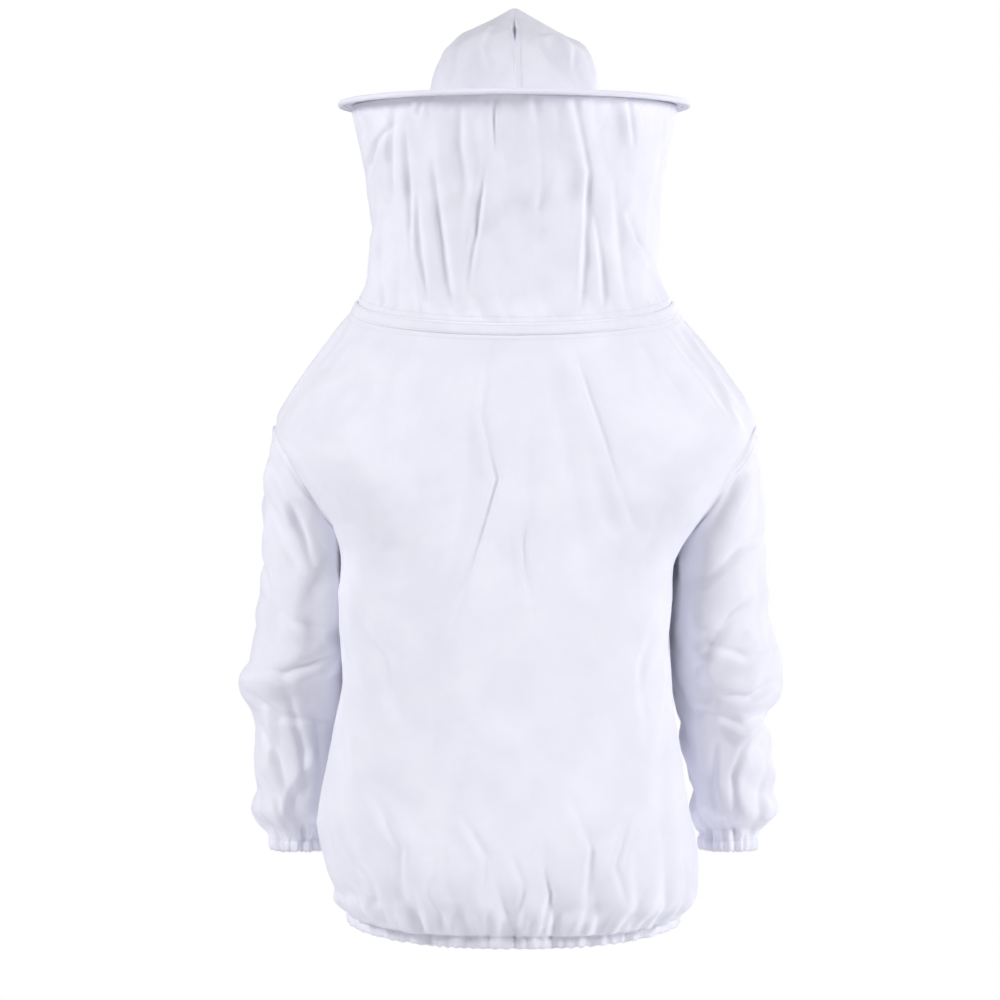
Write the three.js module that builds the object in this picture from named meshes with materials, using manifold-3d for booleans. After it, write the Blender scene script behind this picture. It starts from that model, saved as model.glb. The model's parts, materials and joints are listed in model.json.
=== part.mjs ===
// Beekeeping smock: a pull-over jacket with drop-shoulder sleeves, and a hooded hat whose veil is sewn
// to the back of the neck and zipped round its front.
//
// Millimetres, +Z up. The wearer faces -Y, so +X is the wearer's left. The origin is in the middle of the
// neck opening, level with the shoulder seams that carry the garment.

import * as THREE from "three";
import { mergeVertices } from "three/addons/utils/BufferGeometryUtils.js";
import Module from "manifold-3d";

const wasm = await Module();
wasm.setup();

// ---------------------------------------------------------------- driving dimensions

const CLOTH = 2; // modelled thickness of one layer of cloth
const SEAM = 0.4; // gap left where two pieces are sewn together

// Neck opening. Its front half is an arc that carries the zip, its back half a shallower oval.
const NECK_HALF_WIDTH = 189;
const NECK_FRONT = 150;
const NECK_FRONT_DROP = 61;
const NECK_BACK = 130;
const NECK_BACK_DROP = 33;
const BAND_HEIGHT = 14;

// Jacket heights.
const HEM_Z = -713;
const SHOULDER_TIP = { x: 278, z: -132 };
const UNDERARM = { x: 190, z: -275 };
const ARMHOLE_HALF_DEPTH = 80;

// Hat.
const HAT_Y = -10;
const HAT_Z = 240;
const HAT_TILT = THREE.MathUtils.degToRad(-2);
const HOOP_RADIUS = 200;
const HOOP_WIRE = 1.5;
const BINDING_RADIUS = 3.4;
const HEAD_HALF_WIDTH = 98;
const HEAD_HALF_LENGTH = 110;
const VEIL_TOP_RADIUS = 187;

// Veil window: net between these angles either side of the front.
const WINDOW_HALF_ANGLE = 66;
const FRONT_BAND_HEIGHT = 34;

// Zip.
const ZIP_INSET = 5;
const ZIP_EDGE = 6; // cloth stops this far either side of the teeth
const TEETH_GAP = 0.8;
const TEETH_WIDTH = 2;
const TAPE_WIDTH = 13;
const ZIP_HALF_ANGLE = 77;
const UPPER_ZIP_HALF_ANGLE = 71;
const SLIDER_ANGLE = 75;
const SLIDER_LENGTH = 9;
const PULL_LENGTH = 24;

const deg = THREE.MathUtils.degToRad;
const lerp = THREE.MathUtils.lerp;

// ---------------------------------------------------------------- looks

const COTTON = new THREE.MeshStandardMaterial({ color: 0xf1f1f7, roughness: 0.9, metalness: 0 });
const CROWN_COTTON = new THREE.MeshStandardMaterial({ color: 0xe9e9ef, roughness: 0.9, metalness: 0 });
const NET = new THREE.MeshStandardMaterial({ color: 0x141416, roughness: 0.7, metalness: 0 });
const ELASTIC = new THREE.MeshStandardMaterial({ color: 0xeceae6, roughness: 0.8, metalness: 0 });
const TAPE = new THREE.MeshStandardMaterial({ color: 0xf3f3f5, roughness: 0.85, metalness: 0 });
const ZIP_PLASTIC = new THREE.MeshStandardMaterial({ color: 0xf4f4f2, roughness: 0.35, metalness: 0 });
const ZIP_METAL = new THREE.MeshStandardMaterial({ color: 0xc8c9cc, roughness: 0.3, metalness: 1 });
const SPRING_STEEL = new THREE.MeshStandardMaterial({ color: 0x8d9094, roughness: 0.35, metalness: 1 });

const suit = new THREE.Group();

function add(name, geometry, material, parent = suit) {
  const mesh = new THREE.Mesh(geometry, material);
  mesh.name = name;
  parent.add(mesh);
  return mesh;
}

// ---------------------------------------------------------------- curves and shells

// A smooth function through [x, y] points, with x rising.
function profile(points) {
  const slope = points.map((p, i) => {
    const a = points[Math.max(0, i - 1)];
    const b = points[Math.min(points.length - 1, i + 1)];
    return (b[1] - a[1]) / (b[0] - a[0]);
  });
  return (x) => {
    if (x <= points[0][0]) return points[0][1];
    let i = 0;
    while (i < points.length - 2 && x > points[i + 1][0]) i++;
    const [x0, y0] = points[i];
    const [x1, y1] = points[i + 1];
    const h = x1 - x0;
    const t = Math.min(1, (x - x0) / h);
    const t2 = t * t;
    const t3 = t2 * t;
    return (
      (2 * t3 - 3 * t2 + 1) * y0 + (t3 - 2 * t2 + t) * h * slope[i] +
      (-2 * t3 + 3 * t2) * y1 + (t3 - t2) * h * slope[i + 1]
    );
  };
}

// Closed mesh from a grid of loops: rows[i] is a closed loop of points, and the first and last rows are
// capped, or joined to each other when ring is true.
function loft(rows, ring) {
  const n = rows[0].length;
  const positions = rows.flat().flatMap((p) => [p.x, p.y, p.z]);
  const index = [];
  const quads = ring ? rows.length : rows.length - 1;
  for (let i = 0; i < quads; i++) {
    const a = i * n;
    const b = ((i + 1) % rows.length) * n;
    for (let k = 0; k < n; k++) {
      const m = (k + 1) % n;
      index.push(a + k, a + m, b + m, a + k, b + m, b + k);
    }
  }
  if (!ring) {
    const half = n / 2;
    const last = (rows.length - 1) * n;
    for (let k = 0; k < half - 1; k++) {
      const m = n - 1 - k;
      index.push(k, m, k + 1, k + 1, m, m - 1);
      index.push(last + k, last + k + 1, last + m, last + k + 1, last + m - 1, last + m);
    }
  }
  const geometry = new THREE.BufferGeometry();
  geometry.setAttribute("position", new THREE.Float32BufferAttribute(positions, 3));
  geometry.setIndex(index);
  if (signedVolume(geometry) < 0) flip(geometry);
  geometry.computeVertexNormals();
  return geometry;
}

function signedVolume(geometry) {
  const p = geometry.getAttribute("position");
  const corner = [0, 1, 2].map(() => new THREE.Vector3());
  const index = geometry.index.array;
  let sum = 0;
  for (let i = 0; i < index.length; i += 3) {
    corner.forEach((c, k) => c.fromBufferAttribute(p, index[i + k]));
    sum += corner[0].dot(corner[1].cross(corner[2]));
  }
  return sum / 6;
}

function flip(geometry) {
  const index = geometry.index.array;
  for (let i = 0; i < index.length; i += 3) [index[i + 1], index[i + 2]] = [index[i + 2], index[i + 1]];
}

// A layer of cloth on surface(u, v): its outer face is on the surface moved out by lift, its inner face is
// thickness further in. u and v run over the given ranges, and out tells which way is outside.
function cloth(surface, { u, v, across, along, thickness = CLOTH, lift = 0, ring = false, out }) {
  const at = (s, t) => surface(lerp(u[0], u[1], s), lerp(v[0], v[1], t));
  const tiny = 1e-3;
  const normal = (s, t) => {
    const s0 = ring ? s - tiny : Math.max(0, s - tiny);
    const s1 = ring ? s + tiny : Math.min(1, s + tiny);
    const du = at(s1, t).sub(at(s0, t));
    const dv = at(s, Math.min(1, t + tiny)).sub(at(s, Math.max(0, t - tiny)));
    const n = du.cross(dv).normalize();
    return n.dot(out(at(s, t))) < 0 ? n.negate() : n;
  };
  const rows = [];
  for (let i = 0; i < (ring ? across : across + 1); i++) {
    const outer = [];
    const inner = [];
    for (let j = 0; j <= along; j++) {
      const s = i / across;
      const t = j / along;
      const p = at(s, t);
      const n = normal(s, t);
      const rise = typeof lift === "function" ? lift(s, t) : lift;
      outer.push(p.clone().addScaledVector(n, rise));
      inner.push(p.clone().addScaledVector(n, rise - thickness));
    }
    rows.push([...outer, ...inner.reverse()]);
  }
  return loft(rows, ring);
}

// ---------------------------------------------------------------- neck ring

const zipTilt = Math.atan2(NECK_FRONT_DROP, NECK_FRONT);
const neckFrontReach = Math.hypot(NECK_FRONT, NECK_FRONT_DROP);
const neckRadius = (NECK_HALF_WIDTH ** 2 + neckFrontReach ** 2) / (2 * neckFrontReach);
const neckArc = THREE.MathUtils.radToDeg(Math.asin(NECK_HALF_WIDTH / neckRadius));
// Directions of the zip's plane: ahead runs forward and down in it, rise is its normal.
const ahead = new THREE.Vector3(0, -Math.cos(zipTilt), -Math.sin(zipTilt));
const rise = new THREE.Vector3(0, -Math.sin(zipTilt), Math.cos(zipTilt));
const zipCentre = ahead.clone().multiplyScalar(neckFrontReach - neckRadius);

// A point of the zip's plane, angle degrees round from the front towards +X, lifted along rise.
function zipPoint(radius, angle, lift) {
  return zipCentre
    .clone()
    .addScaledVector(ahead, radius * Math.cos(deg(angle)))
    .add(new THREE.Vector3(radius * Math.sin(deg(angle)), 0, 0))
    .addScaledVector(rise, lift);
}

// The neck seam, turn degrees round from the front (0) by the wearer's left (90) to the back (180).
function neckPoint(turn) {
  const t = ((((turn + 180) % 360) + 360) % 360) - 180;
  if (Math.abs(t) <= 90) return zipPoint(neckRadius, (t * neckArc) / 90, 0);
  const back = -Math.cos(deg(t));
  return new THREE.Vector3(NECK_HALF_WIDTH * Math.sin(deg(t)), NECK_BACK * back, -NECK_BACK_DROP * back);
}

// ---------------------------------------------------------------- jacket body

const bodyHalfWidth = profile([
  [-713, 186], [-697, 190], [-682, 202], [-655, 214], [-620, 216], [-570, 210], [-500, 200],
  [-430, 195], [-350, 193], [-275, 190],
]);
const shoulderHalfWidth = profile([
  [-132, 278], [-113, 274], [-85, 259], [-57, 241], [-28, 219], [0, 189],
]);
const backDepth = profile([
  [-713, 143], [-697, 149], [-680, 162], [-640, 177], [-580, 176], [-450, 163], [-300, 156],
  [-180, 152], [-90, 143], [0, 126],
]);
const frontDepth = profile([
  [-713, 143], [-697, 150], [-680, 165], [-640, 182], [-560, 184], [-430, 178], [-300, 172],
  [-180, 168], [-90, 158], [0, 141],
]);
// How far the cloth is pressed in beside the wearer's arm, and how far forward the arm is.
const armPress = profile([[-713, 0], [-680, 14], [-620, 30], [-540, 26], [-440, 27], [-330, 27], [-275, 22]]);
const armForward = profile([[-713, -60], [-600, -56], [-520, -40], [-400, -12], [-275, -5]]);
const PRESS_FADE = 40; // the press dies out this far above the underarm
function pressedIn(y, z) {
  const press = z < UNDERARM.z ? armPress(z) : armPress(UNDERARM.z) * Math.max(0, 1 - (z - UNDERARM.z) / PRESS_FADE);
  return press * Math.exp(-(((y - armForward(z)) / 75) ** 2));
}
const SQUARENESS = 0.8;

// Height of row v: 0 at the hem, 1 at the neck. Rows crowd where the hem gathers.
const HEM_ROW = 0.058;
const rowHeight = profile([
  [0, HEM_Z], [0.1, -684], [0.2, -632], [0.35, -530], [0.6, UNDERARM.z], [0.84, SHOULDER_TIP.z], [1, 0],
]);

// The jacket's outer surface. side is +1 on the back and -1 on the front, s runs -1 to 1 across a panel
// from one side or armhole edge to the other, and v runs from hem to neck.
function bodyPoint(side, s, v) {
  const z = rowHeight(v);
  const depth = side > 0 ? backDepth(z) : frontDepth(z);
  let edgeX;
  let edgeY = 0;
  if (z <= UNDERARM.z) {
    edgeX = bodyHalfWidth(z);
  } else if (z < SHOULDER_TIP.z) {
    const t = (z - UNDERARM.z) / (SHOULDER_TIP.z - UNDERARM.z);
    edgeX = lerp(UNDERARM.x, SHOULDER_TIP.x, t);
    edgeY = ARMHOLE_HALF_DEPTH * Math.sqrt(Math.max(0, 1 - (2 * t - 1) ** 2));
  } else {
    edgeX = shoulderHalfWidth(z);
  }
  const angle = (s * Math.PI) / 2;
  const x = edgeX * Math.sign(s) * Math.abs(Math.sin(angle)) ** SQUARENESS;
  const y = side * (edgeY + (depth - edgeY) * Math.abs(Math.cos(angle)) ** SQUARENESS);
  const press = pressedIn(y, z) * Math.abs(Math.sin(angle)) ** 4;
  const point = new THREE.Vector3(x - Math.sign(x) * press, y, z);
  // Near the neck the rows bend from level to the neck seam.
  const bend = THREE.MathUtils.smoothstep(v, 0.84, 1);
  if (bend > 0) {
    const turn = side > 0 ? 180 - s * 90 : s * 90;
    const neck = neckPoint(turn);
    point.z += bend * neck.z;
    point.lerp(neck, bend ** 3);
  }
  return point;
}

const outFromAxis = (p) => new THREE.Vector3(p.x, p.y, 0);
const edge = SEAM / 250; // a seam's half gap as a share of a panel's width
// Rows where the panels end: the back one at the neck seam, the front one below the zip's tape.
const BACK_TOP_ROW = 0.997;
const FRONT_TOP_ROW = 0.972;

add("back_panel", cloth((s, v) => bodyPoint(1, s, v), {
  u: [-1 + edge, 1 - edge], v: [HEM_ROW, BACK_TOP_ROW], across: 18, along: 18, out: outFromAxis,
}), COTTON);
add("front_panel", cloth((s, v) => bodyPoint(-1, s, v), {
  u: [-1 + edge, 1 - edge], v: [HEM_ROW, FRONT_TOP_ROW], across: 18, along: 18, out: outFromAxis,
}), COTTON);

// The hem is folded up into a channel that is open inside at its top, with the elastic in it.
const CHANNEL_LIP = 3; // how far the inner wall stops below the outer one
function hemChannel(outline, steps, height, depth, wall) {
  const rows = [];
  for (let i = 0; i < steps; i++) {
    const { point, out } = outline((i * 360) / steps);
    const place = (inwards, up) => point.clone().addScaledVector(out, -inwards).add(new THREE.Vector3(0, 0, up));
    rows.push([
      place(0, 0), place(0, height), place(wall, height), place(wall, wall),
      place(depth - wall, wall), place(depth - wall, height - CHANNEL_LIP),
      place(depth, height - CHANNEL_LIP), place(depth, 0),
    ]);
  }
  return loft(rows, true);
}
function band(outline, steps, { inwards, thickness, up, height }) {
  const rows = [];
  for (let i = 0; i < steps; i++) {
    const { point, out } = outline((i * 360) / steps);
    const place = (n, z) => point.clone().addScaledVector(out, -n).add(new THREE.Vector3(0, 0, z));
    rows.push([
      place(inwards, up), place(inwards, up + height),
      place(inwards + thickness, up + height), place(inwards + thickness, up),
    ]);
  }
  return loft(rows, true);
}
function oval(cx, cy, z, rx, ry) {
  return (turn) => {
    const c = Math.cos(deg(turn));
    const s = Math.sin(deg(turn));
    return {
      point: new THREE.Vector3(cx + rx * c, cy + ry * s, z),
      out: new THREE.Vector3(c / rx, s / ry, 0).normalize(),
    };
  };
}

const HEM = { halfWidth: 187, halfDepth: 144, height: 15, depth: 7.5 };
const HEM_ELASTIC = { inwards: 3, thickness: 1.5, up: 2.5, height: 10 };
const hemOutline = oval(0, 0, HEM_Z, HEM.halfWidth, HEM.halfDepth);
add("hem_casing", hemChannel(hemOutline, 36, HEM.height, HEM.depth, CLOTH), COTTON);
add("hem_elastic", band(hemOutline, 36, HEM_ELASTIC), ELASTIC);

// ---------------------------------------------------------------- pockets

// Patch pockets on the front, sewn on three edges and gaping at the top.
const POCKET = { inner: 0.14, outer: 0.56, low: 0.19, high: 0.4, gape: 20, sewn: 2.6 };
function pocket(side) {
  const pouch = (s, t) => {
    const acrossBow = Math.sin(Math.PI * s) ** 0.6;
    return POCKET.sewn + (POCKET.gape - POCKET.sewn) * acrossBow * Math.min(1, 2.2 * t) ** 0.8;
  };
  return cloth((s, v) => bodyPoint(-1, side * s, v), {
    u: [POCKET.inner, POCKET.outer], v: [POCKET.low, POCKET.high],
    across: 8, along: 6, lift: pouch, out: outFromAxis,
  });
}
add("left_pocket", pocket(1), COTTON);
add("right_pocket", pocket(-1), COTTON);

// ---------------------------------------------------------------- sleeves

// Each station: outer edge x, z, inner edge x, z, middle y, half depth along y.
const SLEEVE_STATIONS = [
  [278, -132, 190, -275, 0, 80],
  [287, -172, 183, -284, -2, 81],
  [290, -214, 178, -294, -3, 81],
  [288, -262, 175, -308, -5, 80],
  [290, -318, 175, -334, -8, 78],
  [302, -378, 178, -384, -14, 74],
  [308, -430, 184, -432, -24, 68],
  [300, -480, 192, -481, -34, 62],
  [299, -540, 203, -541, -46, 56],
  [296, -582, 212, -583, -54, 48],
  [283, -604, 220, -604, -58, 37],
];
const SLEEVE_START = 0.006; // the share left as a gap at the armhole seam
const ELBOW = 0.5; // each sleeve is one tube of cloth, modelled as two solids that meet here
const ELBOW_GAP = 0.0008;
const PRESSED = { most: 0.9, along: 0.15 };
const ARM_MIDDLE = { x: 235, y: -20 };
const CUFF = { x: 250, y: -59, z: -622, halfWidth: 33, halfDepth: 36, height: 15, depth: 7 };
const CUFF_ELASTIC = { inwards: 2.7, thickness: 1.3, up: 2.5, height: 9 };
const along = (column) => profile(SLEEVE_STATIONS.map((row, i) => [i / (SLEEVE_STATIONS.length - 1), row[column]]));
const [outerX, outerZ, innerX, innerZ, middleY, halfDepth] = [0, 1, 2, 3, 4, 5].map(along);

// The sleeve's outer surface on the wearer's left: turn is degrees round it from its outer edge, t runs
// from armhole to cuff.
function sleevePoint(turn, t) {
  const outer = new THREE.Vector3(outerX(t), middleY(t), outerZ(t));
  const inner = new THREE.Vector3(innerX(t), middleY(t), innerZ(t));
  const middle = outer.clone().add(inner).multiplyScalar(0.5);
  const reach = outer.sub(inner).multiplyScalar(0.5);
  const point = middle
    .addScaledVector(reach, Math.cos(deg(turn)))
    .add(new THREE.Vector3(0, halfDepth(t) * Math.sin(deg(turn)), 0));
  // Its first part follows the armhole's edge, which is pressed in at the underarm.
  const underarm = Math.max(0, -Math.cos(deg(turn))) ** 3;
  const share = PRESSED.most * underarm * Math.max(0, 1 - t / PRESSED.along) ** 2;
  point.x -= share * pressedIn(point.y, Math.max(point.z, UNDERARM.z));
  return point;
}

const mirrored = (side, point) => new THREE.Vector3(side * point.x, point.y, point.z);
for (const [side, name] of [[1, "left"], [-1, "right"]]) {
  const centreAt = (p) => new THREE.Vector3(side * ARM_MIDDLE.x, ARM_MIDDLE.y, p.z);
  for (const [half, v] of [["upper", [SLEEVE_START, ELBOW]], ["lower", [ELBOW + ELBOW_GAP, 1]]]) {
    add(`${name}_${half}_sleeve`, cloth((turn, t) => mirrored(side, sleevePoint(turn, t)), {
      u: [0, 360], v, across: 18, along: 7, ring: true, out: (p) => p.clone().sub(centreAt(p)),
    }), COTTON);
  }
  const outline = oval(side * CUFF.x, CUFF.y, CUFF.z, CUFF.halfWidth, CUFF.halfDepth);
  add(`${name}_cuff_casing`, hemChannel(outline, 18, CUFF.height, CUFF.depth, CLOTH), COTTON);
  add(`${name}_cuff_elastic`, band(outline, 18, CUFF_ELASTIC), ELASTIC);
}

// ---------------------------------------------------------------- hat

const hat = new THREE.Group();
hat.position.set(0, HAT_Y, HAT_Z);
hat.rotation.x = HAT_TILT;
suit.add(hat);

const HOOP_STEPS = 40;
const BRIM_RISE = 4;
const BRIM_LAYER = 1.2;
const BRIM_GAP = 0.2; // half the space between the brim's two layers
const BRIM_TO_HOOP = 0.8;
// The brim, turn degrees round from the front and t from crown to edge.
function brimPoint(turn, t, lift) {
  const s = Math.sin(deg(turn));
  const c = -Math.cos(deg(turn));
  const edgeRadius = HOOP_RADIUS - HOOP_WIRE - BRIM_TO_HOOP;
  return new THREE.Vector3(
    lerp(HEAD_HALF_WIDTH, edgeRadius, t) * s,
    lerp(HEAD_HALF_LENGTH, edgeRadius, t) * c,
    BRIM_RISE * (1 - t) + lift,
  );
}
const upwards = () => new THREE.Vector3(0, 0, 1);
const brimLayer = (lift) => cloth((turn, t) => brimPoint(turn, t, lift), {
  u: [0, 360], v: [0, 1], across: HOOP_STEPS, along: 1, thickness: BRIM_LAYER, ring: true, out: upwards,
});
add("brim_top", brimLayer(BRIM_LAYER + BRIM_GAP), COTTON, hat);
add("brim_underside", brimLayer(-BRIM_GAP), COTTON, hat);

// A sprung steel ring keeps the brim flat.
add("brim_hoop", new THREE.TorusGeometry(HOOP_RADIUS, HOOP_WIRE, 6, HOOP_STEPS), SPRING_STEEL, hat);

// The binding is a sleeve of cloth round the hoop, open towards the brim.
const BINDING_MOUTH = 38; // degrees either side of the way to the brim
const BINDING_CLOTH = 1.1;
function bindingProfile() {
  const outer = [];
  const inner = [];
  const steps = 6;
  for (let i = 0; i <= steps; i++) {
    const a = deg(180 + BINDING_MOUTH + ((360 - 2 * BINDING_MOUTH) * i) / steps);
    outer.push(new THREE.Vector2(HOOP_RADIUS + BINDING_RADIUS * Math.cos(a), BINDING_RADIUS * Math.sin(a)));
    const r = BINDING_RADIUS - BINDING_CLOTH;
    inner.push(new THREE.Vector2(HOOP_RADIUS + r * Math.cos(a), r * Math.sin(a)));
  }
  return [...outer, ...inner.reverse(), outer[0]];
}
const binding = add("brim_binding", new THREE.LatheGeometry(bindingProfile(), HOOP_STEPS), COTTON, hat);
binding.rotation.x = Math.PI / 2;

// Crown: four gores that meet at a peak. Height above the brim against share of the base size.
const crownShare = profile([
  [0, 1], [0.15, 0.985], [0.32, 0.945], [0.48, 0.875], [0.6, 0.78], [0.7, 0.6], [0.85, 0.32], [1, 0.03],
]);
const crownHeight = profile([[0, 6.5], [0.3, 32], [0.6, 68], [0.8, 88], [1, 112]]);
const CROWN_EASE = 1; // the crown is this much larger than the head opening
const CROWN_CLOTH = 1.5;
const CROWN_TOP = 0.985;
const GORE_GAP = 0.3; // degrees left either side of a gore's seams
function crownPoint(turn, t) {
  return new THREE.Vector3(
    (HEAD_HALF_WIDTH + CROWN_EASE) * crownShare(t) * Math.sin(deg(turn)),
    -(HEAD_HALF_LENGTH + CROWN_EASE) * crownShare(t) * Math.cos(deg(turn)),
    crownHeight(t),
  );
}
const GORES = ["crown_front_left", "crown_back_left", "crown_back_right", "crown_front_right"];
GORES.forEach((name, i) => {
  add(name, cloth(crownPoint, {
    u: [i * 90 + GORE_GAP, (i + 1) * 90 - GORE_GAP], v: [0, CROWN_TOP],
    across: 6, along: 8, thickness: CROWN_CLOTH, out: upAndOut,
  }), CROWN_COTTON, hat);
});
function upAndOut(p) {
  return new THREE.Vector3(p.x, p.y, 40);
}
// The sweatband lines the crown, and a length of elastic at the back of it takes up the head's size.
const SWEATBAND = { v: [0.01, 0.28], thickness: 1.2, lift: -3 };
const HEADBAND = { u: [125, 235], v: [0.04, 0.24], thickness: 1, lift: -5.8 };
add("sweatband", cloth(crownPoint, {
  ...SWEATBAND, u: [0, 360], across: 24, along: 2, ring: true, out: upAndOut,
}), COTTON, hat);
add("headband_elastic", cloth(crownPoint, { ...HEADBAND, across: 10, along: 2, out: upAndOut }), ELASTIC, hat);

// ---------------------------------------------------------------- veil

// Share of full width at each height of the veil: it is held wide by the brim and falls in between.
const veilWaist = profile([
  [0, 1], [0.065, 0.957], [0.17, 0.9], [0.32, 0.872], [0.46, 0.873], [0.6, 0.896], [0.73, 0.925],
  [0.88, 0.967], [1, 1],
]);

// The veil's outer surface: turn degrees round from the front, t from neck seam to brim.
const VEIL_TOP_DROP = 2.2; // the veil stops this far below the middle of the brim
function veilPoint(turn, t) {
  const low = neckPoint(turn);
  const high = new THREE.Vector3(
    VEIL_TOP_RADIUS * Math.sin(deg(turn)),
    HAT_Y - VEIL_TOP_RADIUS * Math.cos(deg(turn)),
    HAT_Z - VEIL_TOP_DROP,
  );
  high.z += Math.tan(HAT_TILT) * (high.y - HAT_Y);
  const point = low.lerp(high, t);
  const towards = -Math.cos(deg(turn));
  const strength = towards > 0 ? lerp(1, 0.75, towards) : lerp(1, 0.3, -towards);
  const share = 1 - (1 - veilWaist(t)) * strength;
  point.x *= share;
  point.y = HAT_Y + (point.y - HAT_Y) * share;
  return point;
}

// Where a piece starts above the neck seam, as a share of the veil's height at that turn.
const veilShare = (turn, above) => above / neckPoint(turn).distanceTo(veilPoint(turn, 1));
function veilPiece(turns, from, to, across, along, thickness = CLOTH) {
  return cloth((turn, t) => veilPoint(turn, lerp(from(turn), to(turn), t)), {
    u: turns, v: [0, 1], across, along, thickness, out: outFromAxis,
  });
}
// The veil starts above the band at the back, and above the zip at the front.
const BAND_TURNS = [96, 264];
const BAND_GAP = 1.6; // clear of the back panel below, and of the veil above
const veilStart = (turn) => {
  const t = Math.min(turn, 360 - turn);
  const share = THREE.MathUtils.clamp((t - BAND_TURNS[0] + 12) / 8, 0, 1);
  return veilShare(turn, lerp(ZIP_EDGE, BAND_HEIGHT + BAND_GAP + 0.2, share));
};
const NET_THICKNESS = 1;
const NET_GAP = 0.003;
const windowLow = (turn) => veilShare(turn, ZIP_EDGE + FRONT_BAND_HEIGHT);

add("neck_band", veilPiece(
  BAND_TURNS, (t) => veilShare(t, BAND_GAP), (t) => veilShare(t, BAND_HEIGHT), 18, 1,
), COTTON);
add("veil_back", veilPiece([WINDOW_HALF_ANGLE + 0.2, 359.8 - WINDOW_HALF_ANGLE], veilStart, () => 1, 24, 8), COTTON);
add("veil_front_band", veilPiece(
  [-WINDOW_HALF_ANGLE, WINDOW_HALF_ANGLE], (t) => veilShare(t, ZIP_EDGE), windowLow, 16, 1,
), COTTON);
add("veil_net", veilPiece(
  [-WINDOW_HALF_ANGLE, WINDOW_HALF_ANGLE], (t) => windowLow(t) + NET_GAP, () => 1, 16, 7, NET_THICKNESS,
), NET);

// ---------------------------------------------------------------- zip

// A strip that follows the zip: between two radii, between two heights along rise.
function zipStrip(radii, heights, halfAngle, steps) {
  const rows = [];
  for (let i = 0; i <= steps; i++) {
    const a = lerp(-halfAngle, halfAngle, i / steps);
    rows.push([
      zipPoint(radii[0], a, heights[0]), zipPoint(radii[0], a, heights[1]),
      zipPoint(radii[1], a, heights[1]), zipPoint(radii[1], a, heights[0]),
    ]);
  }
  return loft(rows, false);
}
const zipRadius = neckRadius - ZIP_INSET;
const TEETH_HALF_DEPTH = 1.3;
const TAPE_HALF_DEPTH = 0.4;
const teethFar = TEETH_GAP + TEETH_WIDTH;
const ZIP_STEPS = 28;
const teethRadii = [zipRadius - TEETH_HALF_DEPTH, zipRadius + TEETH_HALF_DEPTH];
const tapeRadii = [zipRadius - TAPE_HALF_DEPTH, zipRadius + TAPE_HALF_DEPTH];
add("zip_teeth_lower", zipStrip(teethRadii, [-teethFar, -TEETH_GAP], ZIP_HALF_ANGLE, ZIP_STEPS), ZIP_PLASTIC);
add("zip_tape_lower", zipStrip(tapeRadii, [-teethFar - TAPE_WIDTH, -teethFar - SEAM], ZIP_HALF_ANGLE, ZIP_STEPS), TAPE);
add("zip_teeth_upper", zipStrip(teethRadii, [TEETH_GAP, teethFar], UPPER_ZIP_HALF_ANGLE, ZIP_STEPS), ZIP_PLASTIC);

// The upper tape starts at the teeth and lies along the inside of the veil.
const UPPER_TAPE_INSET = 5;
function upperTape() {
  const rows = [];
  for (let i = 0; i <= ZIP_STEPS; i++) {
    const a = lerp(-UPPER_ZIP_HALF_ANGLE, UPPER_ZIP_HALF_ANGLE, i / ZIP_STEPS);
    const turn = (a * 90) / neckArc;
    const inwards = zipPoint(0, a, 0).sub(zipPoint(1, a, 0));
    const low = zipPoint(zipRadius, a, teethFar + SEAM);
    const high = veilPoint(turn, veilShare(turn, teethFar + TAPE_WIDTH));
    high.addScaledVector(inwards, CLOTH + UPPER_TAPE_INSET);
    rows.push([
      low.clone().addScaledVector(inwards, TAPE_HALF_DEPTH), high.clone().addScaledVector(inwards, TAPE_HALF_DEPTH),
      high.clone().addScaledVector(inwards, -TAPE_HALF_DEPTH), low.clone().addScaledVector(inwards, -TAPE_HALF_DEPTH),
    ]);
  }
  return loft(rows, false);
}
add("zip_tape_upper", upperTape(), TAPE);

// A frame on the zip: x runs along the track towards the front, y out of it, z along rise.
function onZip(angle, object) {
  const outward = zipPoint(1, angle, 0).sub(zipPoint(0, angle, 0));
  const track = new THREE.Vector3().crossVectors(outward, rise);
  const basis = new THREE.Matrix4().makeBasis(track, outward, rise);
  basis.setPosition(zipPoint(zipRadius, angle, 0));
  basis.decompose(object.position, object.quaternion, object.scale);
  return object;
}

// Stops at both ends of the lower teeth.
const STOP = { length: 3, depth: 3.4, height: 5, past: 0.75 };
for (const [side, name] of [[1, "left"], [-1, "right"]]) {
  const holder = onZip(side * (ZIP_HALF_ANGLE + STOP.past), new THREE.Group());
  suit.add(holder);
  add(`zip_stop_${name}`, new THREE.BoxGeometry(STOP.length, STOP.depth, STOP.height), ZIP_METAL, holder);
}

// One solid made from boxes, each [width, height, depth, x, y, z of its middle].
function welded(boxes, cut = []) {
  const solid = ([w, h, d, x, y, z]) => {
    const box = new THREE.BoxGeometry(w, h, d).translate(x, y, z);
    box.deleteAttribute("normal");
    box.deleteAttribute("uv");
    const merged = mergeVertices(box);
    return new wasm.Manifold(new wasm.Mesh({
      numProp: 3,
      vertProperties: new Float32Array(merged.getAttribute("position").array),
      triVerts: new Uint32Array(merged.index.array),
    }));
  };
  const whole = boxes.map(solid).reduce((a, b) => a.add(b));
  const mesh = cut.map(solid).reduce((a, b) => a.subtract(b), whole).getMesh();
  const geometry = new THREE.BufferGeometry();
  geometry.setAttribute("position", new THREE.BufferAttribute(mesh.vertProperties, 3));
  geometry.setIndex(new THREE.BufferAttribute(mesh.triVerts, 1));
  geometry.computeVertexNormals();
  return geometry;
}

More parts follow.
